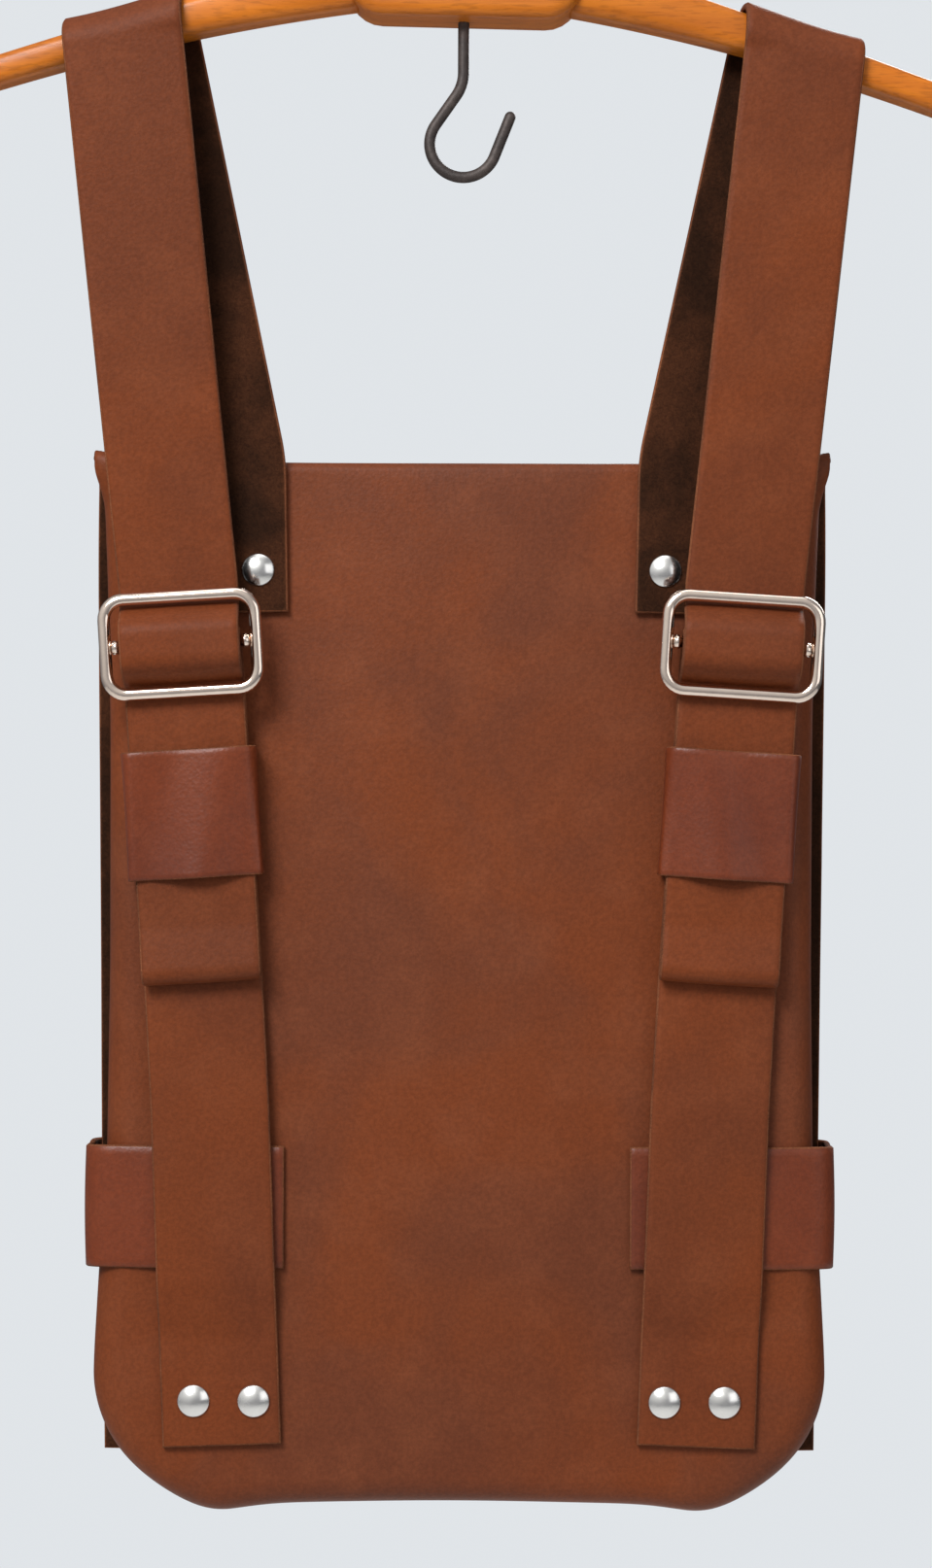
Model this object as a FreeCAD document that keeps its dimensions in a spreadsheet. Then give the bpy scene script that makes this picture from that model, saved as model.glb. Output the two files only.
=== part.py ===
import FreeCAD, Part
import Sketcher
import math
import os

# A leather backpack hung by its two shoulder straps over a wooden coat hanger.
# Frame: +Z up, +X to the right as seen from the strap side, the strap side faces -Y.
# The origin is the seat inside the top hook, where the rail carries everything.
# Heights in the sheet are measured up from the bag's bottom edge, and depths are
# measured from the back panel's outer face: "out" is towards the wearer's back (-Y),
# "in" is through the bag (+Y).

Vector = FreeCAD.Vector
doc = FreeCAD.newDocument("backpack_on_hanger")
sheet = doc.addObject("Spreadsheet::Sheet", "Sizes")

SIZES = [
    ("seat_height", 640.0, "hook seat above the bag's bottom edge"),
    ("panel_depth", 12.6, "back panel's outer face behind the hook's plane"),
    ("leather", 2.2, "thickness of the bag's panels"),
    ("panel_top", 383.2, "top edge of the back panel"),
    ("panel_top_half", 128.5, "half width of the panels at the top"),
    ("panel_bottom_half", 134.0, "half width of the panels at the bottom"),
    ("panel_corner", 38.0, "radius of the bottom corners"),
    ("front_top", 372.0, "top edge of the front panel"),
    ("bag_depth_top", 36.0, "outside depth of the bag at its top"),
    ("bag_depth_bottom", 56.0, "outside depth of the bag at its bottom"),
    ("gusset_inset", 2.5, "gusset's outer face inside the panels' edge"),
    ("gusset_leather", 2.0, "thickness of the gusset"),
    ("flap_half", 138.5, "half width of the flap"),
    ("flap_bottom", 10.0, "height of the flap's free edge"),
    ("flap_fold", 384.6, "height of the fold that the flap turns on"),
    ("flap_gap", 1.1, "air between the front panel and the flap"),
    ("band_bottom", 89.0, "lower edge of the closure band"),
    ("band_tall", 45.0, "height of the closure band"),
    ("band_end", 63.0, "where the band's ends lie on the back panel"),
    ("band_side_back", 135.5, "band's centre line at the back corners"),
    ("band_side_front", 141.5, "band's centre line at the front corners"),
    ("band_front", 56.8, "band's centre line across the flap"),
    ("strap_wide", 43.5, "width of a shoulder strap"),
    ("strap_thick", 2.8, "thickness of a shoulder strap"),
    ("strap_lean", 3.6, "lean of the strap's buckled part, degrees"),
    ("strap_over_arm", 543.4, "strap's centre line where it crosses the arm"),
    ("strap_arm_lean", 18.8, "lean of the strap across the arm, degrees"),
    ("strap_arm_clear", 1.2, "extra room between the arm and the front leg"),
    ("wrap_outer", 6.7, "outer wrap's centre line out from the slider's bar"),
    ("wrap_inner", 3.7, "inner wrap's centre line out from the slider's bar"),
    ("layer_one", 10.9, "strap's outermost layer out from the back panel"),
    ("layer_two", 7.2, "layer that runs back up under the outermost one"),
    ("layer_three", 4.1, "layer that runs down to the bottom rivets"),
    ("strap_fold_down", 124.4, "strap's fold below the slider's centre"),
    ("slider_across", 103.1, "slider's centre from the middle"),
    ("slider_up", 317.5, "slider's centre above the bottom"),
    ("slider_out", 15.8, "slider's plane out from the back panel"),
    ("slider_wide", 59.3, "slider's outside width"),
    ("slider_tall", 39.0, "slider's outside height"),
    ("slider_wire", 3.75, "slider's wire diameter"),
    ("slider_corner", 9.0, "slider's outside corner radius"),
    ("bar_diameter", 4.0, "slider's centre bar"),
    ("keeper_down", 61.6, "keeper's centre below the slider's, along the strap"),
    ("keeper_wide", 48.6, "keeper's outside width"),
    ("keeper_tall", 47.0, "keeper's height"),
    ("keeper_leather", 1.8, "thickness of the keeper"),
    ("keeper_round", 1.5, "rounding of the keeper's upright edges"),
    ("keeper_low", 0.5, "keeper's back face out from the back panel"),
    ("keeper_high", 14.5, "keeper's front face out from the back panel"),
    ("rivet_cap", 12.0, "diameter of a rivet's domed cap"),
    ("rivet_cap_thick", 1.9, "height of the domed cap"),
    ("rivet_back", 9.0, "diameter of a rivet's back cap"),
    ("rivet_back_thick", 1.0, "thickness of the back cap"),
    ("rivet_post", 3.6, "diameter of a rivet's post"),
    ("rivet_spacing", 22.0, "between the two rivets of a pair"),
    ("low_rivets_up", 40.6, "height of the bottom rivets"),
    ("low_rivets_across", 86.3, "middle of a bottom pair"),
    ("high_rivets_up", 345.4, "height of the top rivets"),
    ("high_rivets_across", 85.6, "middle of a top pair"),
    ("strap_out", 0.4, "strap's back face where it is riveted down"),
    ("band_rivet_cap", 8.0, "diameter of the band's flat rivets"),
    ("band_rivet_thick", 0.9, "thickness of the band's flat rivets"),
    ("band_rivet_across", 88.0, "band's rivets from the middle"),
    ("arm_thick", 16.0, "hanger arm, front to back"),
    ("arm_round", 5.5, "rounding of the arm's long edges"),
    ("arm_reach", 220.0, "hanger's half length"),
    ("arm_root_top", 565.2, "arm's upper edge beside the block"),
    ("arm_root_under", 543.0, "arm's lower edge beside the block"),
    ("arm_set_top", 130.0, "where the arm's upper curve is set, from the middle"),
    ("arm_middle_top", 537.9, "arm's upper edge there"),
    ("arm_set_under", 128.0, "where the arm's lower curve is set, from the middle"),
    ("arm_middle_under", 524.3, "arm's lower edge there"),
    ("arm_tip", 498.0, "height of the arm's furthest point"),
    ("arm_tip_top", 504.6, "arm's upper edge at its tip"),
    ("arm_tip_under", 492.8, "arm's lower edge at its tip"),
    ("block_wide", 85.0, "hanger's centre block"),
    ("block_tall", 34.0, "height of the centre block"),
    ("block_thick", 24.0, "centre block, front to back"),
    ("block_bottom", 539.0, "underside of the centre block"),
    ("block_round", 3.5, "rounding of the block's edges"),
    ("dowel", 8.0, "diameter of the arms' dowels"),
    ("dowel_long", 30.0, "length of a dowel"),
    ("dowel_up", 553.5, "height of the dowels"),
    ("hook_wire", 4.0, "wire of the top hook"),
    ("hook_inside", 20.0, "inside radius of the top hook"),
    ("hook_neck", 10.0, "radius of the bend at the top hook's neck"),
    ("hook_end", 208.0, "where the top hook's round part ends, degrees"),
    ("head_wide", 7.6, "head of the top hook's stem"),
    ("head_tall", 2.2, "thickness of the stem's head"),
    ("head_clear", 0.4, "head's face below the collar"),
    ("head_hole", 9.0, "diameter of the block's hole for the head"),
    ("head_hole_deep", 11.0, "depth of the hole for the head"),
    ("ferrule_wide", 15.0, "diameter of the collar"),
    ("ferrule_tall", 5.0, "height of the collar"),
    ("under_wire", 4.1, "wire of the under-hook"),
    ("under_radius", 12.2, "under-hook's centre line radius"),
    ("under_neck", 17.9, "radius of the under-hook's neck bend"),
    ("under_up", 499.8, "height of the under-hook's centre"),
    ("under_end", 340.0, "where the under-hook's round part ends, degrees"),
    ("under_flare", 15.0, "straight end of the under-hook"),
    ("under_screw", 11.5, "under-hook's stem inside the block"),
    ("flange_wide", 8.4, "under-hook's flange"),
    ("flange_tall", 1.6, "thickness of the flange"),
]
for row, (alias, value, note) in enumerate(SIZES, 1):
    sheet.set(f"A{row}", note)
    sheet.set(f"B{row}", str(value))
    sheet.setAlias(f"B{row}", alias)
doc.recompute()

SIDES = (("left", -1), ("right", 1))
nodes = []


def size(alias):
    """A driving dimension, read from the sheet."""
    return float(sheet.get(alias))


def at(across, out, up):
    """A point given across the bag, out from the back panel and up from its bottom."""
    return Vector(across, size("panel_depth") - out, up - size("seat_height"))


def bind(piece, **expressions):
    """Bind properties to the sheet; a double underscore stands for a dot."""
    for name, expression in expressions.items():
        piece.setExpression(name.replace("__", "."), expression)
    return piece


def node(piece, label):
    """Take a finished piece into the list of sub-parts, under its own name."""
    piece.Label = label
    nodes.append(piece)
    return piece


def own_shape(label, shape):
    """A sub-part whose shape is worked out from the sheet in code."""
    piece = doc.addObject("Part::Feature", label)
    piece.Shape = shape
    piece.Placement = shape.Placement
    return piece


def cylinder(name, diameter, length, place, axis=Vector(0, 0, 1)):
    """A Part cylinder whose diameter and length are cells of the sheet."""
    rod = doc.addObject("Part::Cylinder", name)
    bind(rod, Radius=f"Sizes.{diameter} / 2", Height=length)
    rod.Placement = FreeCAD.Placement(place, FreeCAD.Rotation(Vector(0, 0, 1), axis))
    return rod


def cut(name, base, tools):
    """Base with every tool taken out of it."""
    removed = tools[0]
    if len(tools) > 1:
        removed = doc.addObject("Part::MultiFuse", name + "_tools")
        removed.Shapes = tools
    result = doc.addObject("Part::Cut", name)
    result.Base = base
    result.Tool = removed
    return result


def group(label, pieces):
    """Identical separate solids kept as one sub-part."""
    bundle = doc.addObject("Part::Compound", label)
    bundle.Links = pieces
    return node(bundle, label)


# ---------------------------------------------------------------- sketches


def origin_plane(body, role):
    """One of a body's own origin planes."""
    return [plane for plane in body.Origin.OriginFeatures if plane.Role == role][0]


def sketch_in(body, name, role):
    """A sketch on one of the body's own origin planes."""
    sketch = body.newObject("Sketcher::SketchObject", name)
    sketch.AttachmentSupport = [(origin_plane(body, role), "")]
    sketch.MapMode = "FlatFace"
    return sketch


def centred_rectangle(sketch, width, height):
    """A rectangle about the sketch's origin; width and height are expressions."""
    corners = [Vector(-10, -10), Vector(10, -10), Vector(10, 10), Vector(-10, 10)]
    for index in range(4):
        sketch.addGeometry(Part.LineSegment(corners[index], corners[(index + 1) % 4]))
    for index in range(4):
        sketch.addConstraint(Sketcher.Constraint("Coincident", index, 2, (index + 1) % 4, 1))
    sketch.addConstraint(Sketcher.Constraint("Horizontal", 0))
    sketch.addConstraint(Sketcher.Constraint("Horizontal", 2))
    sketch.addConstraint(Sketcher.Constraint("Vertical", 1))
    sketch.addConstraint(Sketcher.Constraint("Vertical", 3))
    sketch.addConstraint(Sketcher.Constraint("Symmetric", 0, 1, 2, 1, -1, 1))
    across = sketch.addConstraint(Sketcher.Constraint("DistanceX", 0, 1, 0, 2, 20.0))
    upright = sketch.addConstraint(Sketcher.Constraint("DistanceY", 1, 1, 1, 2, 20.0))
    sketch.setExpression(f"Constraints[{across}]", width)
    sketch.setExpression(f"Constraints[{upright}]", height)


def pad(body, sketch, length, both_ways=False):
    """Pad the sketch by an expression's length."""
    feature = body.newObject("PartDesign::Pad", body.Name + "_pad")
    feature.Profile = sketch
    feature.Midplane = both_ways
    feature.setExpression("Length", length)
    doc.recompute()
    return feature


def edges_along(shape, direction):
    """Names of the straight edges that run along a direction."""
    found = []
    for index, edge in enumerate(shape.Edges, 1):
        if isinstance(edge.Curve, Part.Line) and abs(edge.Curve.Direction.dot(direction)) > 0.999:
            found.append(f"Edge{index}")
    return found


def dress(body, kind, base, edge_names, amount):
    """A PartDesign fillet or chamfer on named edges of the last feature."""
    feature = body.newObject(f"PartDesign::{kind}", f"{body.Name}_{kind.lower()}")
    feature.Base = (base, edge_names)
    feature.setExpression("Radius" if kind == "Fillet" else "Size", amount)
    doc.recompute()
    return feature


# ---------------------------------------------------------------- leather strips


def strip(route, wide, thick):
    """A flat strip bent along a route, as a closed solid with flat facets.

    Each point of the route is (place, bend radius, direction across the strip).
    Straight runs are joined by tangent arcs, which are stepped by angle.
    """
    step = math.radians(20)
    stations = [(route[0][0], route[1][0] - route[0][0], route[0][2])]
    for before, here, after in zip(route, route[1:], route[2:]):
        come = (here[0] - before[0]).normalize()
        leave = (after[0] - here[0]).normalize()
        turn = come.getAngle(leave)
        count = max(2, math.ceil(turn / step) + 1)
        back = here[1] * math.tan(turn / 2)
        first = here[0] - come * back
        inward = (leave - come * leave.dot(come)).normalize()
        centre = first + inward * here[1]
        for index in range(count):
            angle = turn * index / (count - 1)
            place = centre - inward * (here[1] * math.cos(angle)) + come * (here[1] * math.sin(angle))
            heading = come * math.cos(angle) + inward * math.sin(angle)
            stations.append((place, heading, here[2]))
    stations.append((route[-1][0], route[-1][0] - route[-2][0], route[-1][2]))
    rings = []
    for place, heading, across in stations:
        along = Vector(heading).normalize()
        side = (across - along * across.dot(along)).normalize() * (wide / 2)
        face = along.cross(side).normalize() * (thick / 2)
        low, high = place - face, place + face
        rings.append([low - side, low + side, high + side, high - side])
    faces = [flat_face(rings[0]), flat_face(rings[-1])]
    for low, high in zip(rings, rings[1:]):
        for index in range(4):
            following = (index + 1) % 4
            quad = [low[index], low[following], high[following], high[index]]
            bow = (quad[1] - quad[0]).cross(quad[2] - quad[0]).normalize().dot(quad[3] - quad[0])
            if abs(bow) < 1e-7:
                faces.append(flat_face(quad))
            else:
                faces.append(flat_face(quad[:3]))
                faces.append(flat_face([quad[0], quad[2], quad[3]]))
    return closed(faces)


def flat_face(points):
    """A flat face with these corners."""
    return Part.Face(Part.makePolygon(list(points) + [points[0]]))


def closed(faces):
    """The solid that these faces close."""
    shell = Part.Shell(faces)
    shell.sewShape()
    solid = Part.Solid(shell)
    if solid.Volume < 0:
        solid.reverse()
    return solid


# ---------------------------------------------------------------- bag panels


def panel_outline(inset, top):
    """The panels' outline in the XZ plane: straight sides that flare, round bottom corners."""
    low = -size("seat_height") + inset
    high = top - size("seat_height")
    narrow = size("panel_top_half") - inset
    broad = size("panel_bottom_half") - inset
    radius = size("panel_corner") - inset
    slope = math.atan2(broad - narrow, high - low)
    back = radius * math.tan((math.pi / 2 - slope) / 2)
    up_side = Vector(-math.sin(slope), 0, math.cos(slope))
    corner = Vector(broad, 0, low)
    centre = Vector(broad - back, 0, low + radius)
    lean = (slope - math.pi / 2) / 2
    middle = centre + Vector(math.cos(lean), 0, math.sin(lean)) * radius
    right = [Vector(narrow, 0, high), corner + up_side * back, middle, Vector(broad - back, 0, low)]
    left = [Vector(-point.x, 0, point.z) for point in right]
    return Part.Wire(
        [
            Part.makeLine(left[0], right[0]),
            Part.makeLine(right[0], right[1]),
            Part.Arc(right[1], right[2], right[3]).toShape(),
            Part.makeLine(right[3], left[3]),
            Part.Arc(left[3], left[2], left[1]).toShape(),
            Part.makeLine(left[1], left[0]),
        ]
    )


def rivet_places(across, up):
    """The four places of two mirrored pairs of rivets, as (across, up)."""
    half = size("rivet_spacing") / 2
    return [(side * (across + shift), up) for _, side in SIDES for shift in (-half, half)]


low_rivets = rivet_places(size("low_rivets_across"), size("low_rivets_up"))
high_rivets = rivet_places(size("high_rivets_across"), size("high_rivets_up"))
band_middle = size("band_bottom") + size("band_tall") / 2
band_rivets = [
    (side * size("band_rivet_across"), band_middle + shift)
    for _, side in SIDES
    for shift in (-size("rivet_spacing") / 2, size("rivet_spacing") / 2)
]


def rivet_holes(places):
    """Solids that clear the rivets' posts through every layer."""
    radius = size("rivet_post") / 2 + 0.1
    reach = 40.0
    return [Part.makeCylinder(radius, reach, at(x, 20, z), Vector(0, 1, 0)) for x, z in places]


back_shape = Part.Face(panel_outline(0, size("panel_top"))).extrude(Vector(0, size("leather"), 0))
back_shape.translate(Vector(0, size("panel_depth"), 0))
back_shape = back_shape.cut(rivet_holes(low_rivets + high_rivets + band_rivets))
node(own_shape("back_panel", back_shape.Solids[0]), "back_panel")

front_lean = math.degrees(
    math.atan2(size("bag_depth_bottom") - size("bag_depth_top"), size("front_top"))
)
front_pivot = Vector(0, size("panel_depth") + size("bag_depth_bottom"), -size("seat_height"))
front_shape = Part.Face(panel_outline(0, size("front_top"))).extrude(Vector(0, size("leather"), 0))
front_shape.translate(Vector(0, front_pivot.y - size("leather"), 0))
front_shape.rotate(front_pivot, Vector(1, 0, 0), front_lean)
node(own_shape("front_panel", front_shape), "front_panel")

inset = size("gusset_inset")
outer = Part.Face(panel_outline(inset, size("front_top") - 1)).extrude(Vector(0, 200, 0))
inner = Part.Face(panel_outline(inset + size("gusset_leather"), size("front_top") + 30)).extrude(
    Vector(0, 200, 0)
)
gusset_shape = outer.cut(inner)
gusset_shape.translate(Vector(0, size("panel_depth") + size("leather"), 0))
beyond = Part.makeBox(400, 300, 600, Vector(-200, front_pivot.y - size("leather"), front_pivot.z - 50))
beyond.rotate(front_pivot, Vector(1, 0, 0), front_lean)
gusset_shape = gusset_shape.cut(beyond)
node(own_shape("gusset", gusset_shape.Solids[0]), "gusset")

# ---------------------------------------------------------------- flap and closure band

x_way = Vector(1, 0, 0)
fold = at(0, -size("leather") / 2, size("flap_fold"))
half_flap = size("leather") / 2 + size("flap_gap")
flap_route = [
    (fold, 0, x_way),
    (at(0, -(size("bag_depth_top") + half_flap), size("flap_fold")), 8.0, x_way),
    (at(0, -(size("bag_depth_bottom") + half_flap - 0.5), size("flap_bottom")), 0, x_way),
]
flap_strip = strip(flap_route, 2 * size("flap_half"), size("leather"))
flap_roll = Part.makeCylinder(
    size("leather") / 2, 2 * size("flap_half"), fold - x_way * size("flap_half"), x_way
)
flap_shape = flap_strip.fuse(flap_roll).removeSplitter()
node(own_shape("flap", flap_shape.Solids[0]), "flap")

z_way = Vector(0, 0, 1)
band_out = size("leather") / 2 + 0.3
band_route = [
    (at(-size("band_end"), band_out, band_middle), 0, z_way),
    (at(-size("band_side_back"), band_out, band_middle), 4.0, z_way),
    (at(-size("band_side_front"), -size("band_front"), band_middle), 4.0, z_way),
    (at(size("band_side_front"), -size("band_front"), band_middle), 4.0, z_way),
    (at(size("band_side_back"), band_out, band_middle), 4.0, z_way),
    (at(size("band_end"), band_out, band_middle), 0, z_way),
]
band_shape = strip(band_route, size("band_tall"), size("leather"))
band_shape = band_shape.cut(rivet_holes(band_rivets))
node(own_shape("closure_band", band_shape.Solids[0]), "closure_band")

# ---------------------------------------------------------------- shoulder straps

lean = math.radians(size("strap_lean"))
bend = (size("arm_thick") + 2 * size("strap_thick")) / 2
arm_out = size("panel_depth")
over_arm = size("strap_over_arm")
arm_lean = size("strap_arm_lean")
in_front = arm_out + bend + size("strap_arm_clear")
layer_one = size("layer_one")
layer_two = size("layer_two")
layer_three = size("layer_three")
fold_down = size("strap_fold_down")
wrap = size("slider_out") + size("wrap_outer")
core = size("slider_out") + size("wrap_inner")
behind = size("slider_out") - size("wrap_inner")
riveted = size("strap_out") + size("strap_thick") / 2


def buckled(down, out):
    """A point of the buckled part: down the strap from the slider's centre, and out."""
    across = size("slider_across") - down * math.sin(lean)
    return (across, out, size("slider_up") - down * math.cos(lean))


strap_lean = size("strap_lean")
turn_gap = (layer_one - layer_two) / 2
STRAP_ROUTE = [
    ((85.3, riveted, 329.6), 0, 1.0),
    ((86.3, riveted, 384.0), 60, 6.0),
    ((120.4, arm_out - bend, over_arm), bend, arm_lean),
    ((124.0, in_front, over_arm), bend, arm_lean),
    (buckled(-22, layer_one), 30, 4.6),
    (buckled(-15.6, layer_one), 4, strap_lean),
    (buckled(-6.5, wrap), 6, strap_lean),
    (buckled(6.5, wrap), 6, strap_lean),
    (buckled(15.6, layer_one), 4, strap_lean),
    (buckled(fold_down, layer_one), turn_gap, strap_lean),
    (buckled(fold_down, layer_two), turn_gap, strap_lean),
    (buckled(14.7, layer_two), 4, strap_lean),
    (buckled(5.0, core), 4, strap_lean),
    (buckled(-3.7, core), 3.5, strap_lean),
    (buckled(-3.7, behind), 3.4, strap_lean),
    (buckled(13.5, layer_three), 8, strap_lean),
    (buckled(125.0, layer_three), 100, 4.4),
    ((91.5, 5.0, 150.0), 40, 3.2),
    ((89.1, 5.0, 84.0), 20, 2.0),
    ((88.4, riveted, 64.0), 20, 2.0),
    ((86.9, riveted, 24.0), 0, 2.0),
]

for side_name, side in SIDES:
    route = []
    for (across, out, up), radius, tip in STRAP_ROUTE:
        tilt = math.radians(tip)
        way = Vector(math.cos(tilt), 0, -side * math.sin(tilt))
        route.append((at(side * across, out, up), radius, way))
    strap_shape = strip(route, size("strap_wide"), size("strap_thick"))
    strap_shape = strap_shape.cut(rivet_holes(low_rivets + high_rivets))
    print("strap", side_name, "solids", len(strap_shape.Solids), "volume", round(strap_shape.Volume))
    node(own_shape(f"strap_{side_name}", strap_shape.Solids[0]), f"strap_{side_name}")

# ---------------------------------------------------------------- rivets


def dome(name, place):
    """A domed cap: a short cylinder with its outer edge rounded over."""
    disc = cylinder(name + "_disc", "rivet_cap", "Sizes.rivet_cap_thick", place, Vector(0, -1, 0))
    doc.recompute()
    rounded = doc.addObject("Part::Fillet", name)
    rounded.Base = disc
    edge = outer_edge(disc.Shape)
    rounded.Edges = [(edge, size("rivet_cap_thick") * 0.8, size("rivet_cap_thick") * 0.8)]
    return rounded


def outer_edge(shape):
    """Number of the circular edge that lies furthest out from the back panel."""
    rings = [(edge.BoundBox.YMax, index) for index, edge in enumerate(shape.Edges, 1) if edge.Closed]
    return min(rings)[1]


def rivets(name, places, strap_face):
    """Domed caps outside, posts through the layers and flat back caps inside the bag."""
    caps = []
    posts = []
    backs = []
    inside = -size("leather")
    for index, (across, up) in enumerate(places):
        caps.append(dome(f"{name}_cap_{index}", at(across, strap_face, up)))
        length = strap_face - inside
        post_place = at(across, strap_face, up)
        posts.append(cylinder(f"{name}_post_{index}", "rivet_post", f"{length}", post_place, y_way))
        back_place = at(across, inside, up)
        backs.append(
            cylinder(f"{name}_back_{index}", "rivet_back", "Sizes.rivet_back_thick", back_place, y_way)
        )
    group(f"{name}_rivet_caps", caps)
    group(f"{name}_rivet_posts", posts)
    group(f"{name}_rivet_backs", backs)


strap_face = size("strap_out") + size("strap_thick")
y_way = Vector(0, 1, 0)
rivets("bottom", low_rivets, strap_face)
rivets("top", high_rivets, strap_face)

flat_caps = []
flat_backs = []
flat_posts = []
band_face = band_out + size("leather") / 2
for index, (across, up) in enumerate(band_rivets):
    cap_place = at(across, band_face + size("band_rivet_thick"), up)
    flat_caps.append(
        cylinder(f"band_cap_{index}", "band_rivet_cap", "Sizes.band_rivet_thick", cap_place, y_way)
    )
    length = band_face + size("leather")
    flat_posts.append(
        cylinder(f"band_post_{index}", "rivet_post", f"{length}", at(across, band_face, up), y_way)
    )
    flat_backs.append(
        cylinder(
            f"band_back_{index}",
            "rivet_back",
            "Sizes.rivet_back_thick",
            at(across, -size("leather"), up),
            y_way,
        )
    )
group("band_rivet_caps", flat_caps)
group("band_rivet_posts", flat_posts)
group("band_rivet_backs", flat_backs)

# ---------------------------------------------------------------- sliders and keepers

for side_name, side in SIDES:
    turn = FreeCAD.Rotation(Vector(0, 1, 0), side * size("strap_lean"))
    middle = at(side * size("slider_across"), size("slider_out"), size("slider_up"))

    frame = doc.addObject("PartDesign::Body", f"slider_frame_{side_name}")
    ring = sketch_in(frame, f"slider_ring_{side_name}", "XZ_Plane")
    half_wide = (size("slider_wide") - size("slider_wire")) / 2
    half_tall = (size("slider_tall") - size("slider_wire")) / 2
    round_off = size("slider_corner") - size("slider_wire") / 2
    corner_x = half_wide - round_off
    corner_z = half_tall - round_off
    starts = [
        (Vector(corner_x, -half_tall), Vector(-corner_x, -half_tall), Vector(-corner_x, -corner_z), 180),
        (Vector(-half_wide, -corner_z), Vector(-half_wide, corner_z), Vector(-corner_x, corner_z), 90),
        (Vector(-corner_x, half_tall), Vector(corner_x, half_tall), Vector(corner_x, corner_z), 0),
        (Vector(half_wide, corner_z), Vector(half_wide, -corner_z), Vector(corner_x, -corner_z), 270),
    ]
    for begin, end, centre, angle in starts:
        ring.addGeometry(Part.LineSegment(begin, end))
        circle = Part.Circle(centre, Vector(0, 0, 1), round_off)
        ring.addGeometry(Part.ArcOfCircle(circle, math.radians(angle), math.radians(angle + 90)))
    section = sketch_in(frame, f"slider_section_{side_name}", "YZ_Plane")
    section.addGeometry(Part.Circle(Vector(0, half_tall), Vector(0, 0, 1), size("slider_wire") / 2))
    across = section.addConstraint(Sketcher.Constraint("Diameter", 0, size("slider_wire")))
    section.setExpression(f"Constraints[{across}]", "Sizes.slider_wire")
    pipe = frame.newObject("PartDesign::AdditivePipe", f"slider_pipe_{side_name}")
    pipe.Profile = section
    pipe.Spine = ring
    frame.Placement = FreeCAD.Placement(middle, turn)
    node(frame, f"slider_frame_{side_name}")

    rod_long = 2 * half_wide - size("slider_wire") - 0.1
    rod_start = middle - turn.multVec(Vector(rod_long / 2, 0, 0))
    rod = cylinder(f"slider_rod_{side_name}", "bar_diameter", f"{rod_long}", rod_start)
    rod.Placement = FreeCAD.Placement(
        rod_start, turn.multiply(FreeCAD.Rotation(Vector(0, 1, 0), 90))
    )
    node(rod, f"slider_bar_{side_name}")

    keeper = doc.addObject("PartDesign::Body", f"keeper_{side_name}")
    outside = sketch_in(keeper, f"keeper_outside_{side_name}", "XY_Plane")
    centred_rectangle(outside, "Sizes.keeper_wide", "Sizes.keeper_high - Sizes.keeper_low")
    block = pad(keeper, outside, "Sizes.keeper_tall", both_ways=True)
    block = dress(keeper, "Fillet", block, edges_along(block.Shape, z_way), "Sizes.keeper_round")
    hollow = sketch_in(keeper, f"keeper_inside_{side_name}", "XY_Plane")
    centred_rectangle(
        hollow,
        "Sizes.keeper_wide - 2 * Sizes.keeper_leather",
        "Sizes.keeper_high - Sizes.keeper_low - 2 * Sizes.keeper_leather",
    )
    before = block.Shape.Volume
    slot = keeper.newObject("PartDesign::Pocket", f"keeper_slot_{side_name}")
    slot.Profile = hollow
    slot.Type = 1
    slot.Midplane = True
    doc.recompute()
    assert slot.Shape.Volume < 0.6 * before
    across, out, up = buckled(size("keeper_down"), (size("keeper_low") + size("keeper_high")) / 2)
    keeper.Placement = FreeCAD.Placement(at(side * across, out, up), turn)
    node(keeper, f"keeper_{side_name}")

# ---------------------------------------------------------------- wooden hanger

block_low = Vector(0, 0, size("block_bottom") - size("seat_height"))
box = doc.addObject("Part::Box", "block_blank")
bind(
    box,
    Length="Sizes.block_wide",
    Width="Sizes.block_thick",
    Height="Sizes.block_tall",
    Placement__Base__x="-Sizes.block_wide / 2",
    Placement__Base__y="-Sizes.block_thick / 2",
    Placement__Base__z="Sizes.block_bottom - Sizes.seat_height",
)
doc.recompute()
rounded = doc.addObject("Part::Fillet", "block_rounded")
rounded.Base = box
rounded.Edges = [(index, size("block_round"), size("block_round")) for index in range(1, 13)]
block_top = size("block_bottom") + size("block_tall") - size("seat_height")
hole_floor = Vector(0, 0, block_top - size("head_hole_deep") + 1e-3)
head_hole = cylinder("head_hole_blank", "head_hole", "Sizes.head_hole_deep", hole_floor)
screw_hole = doc.addObject("Part::Cylinder", "screw_hole")
bind(screw_hole, Radius="Sizes.under_wire / 2 + 0.05", Height="Sizes.under_screw + 0.5")
screw_hole.Placement.Base = Vector(0, 0, block_low.z - 1e-3)
tenon_half = size("block_wide") / 2
dowel_z = size("dowel_up") - size("seat_height")
dowels = []
dowel_holes = []
for side_name, side in SIDES:
    start = Vector(side * tenon_half - size("dowel_long") / 2, 0, dowel_z)
    dowels.append(cylinder(f"dowel_{side_name}", "dowel", "Sizes.dowel_long", start, x_way))
    hole = doc.addObject("Part::Cylinder", f"dowel_hole_{side_name}")
    bind(hole, Radius="Sizes.dowel / 2 + 0.05", Height="Sizes.dowel_long + 0.4")
    hole.Placement = FreeCAD.Placement(start - x_way * 0.2, FreeCAD.Rotation(Vector(0, 0, 1), x_way))
    dowel_holes.append(hole)
block_cut = cut("block_bored", rounded, [head_hole, screw_hole] + dowel_holes)
node(block_cut, "hanger_block")
group("arm_dowels", dowels)


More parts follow.
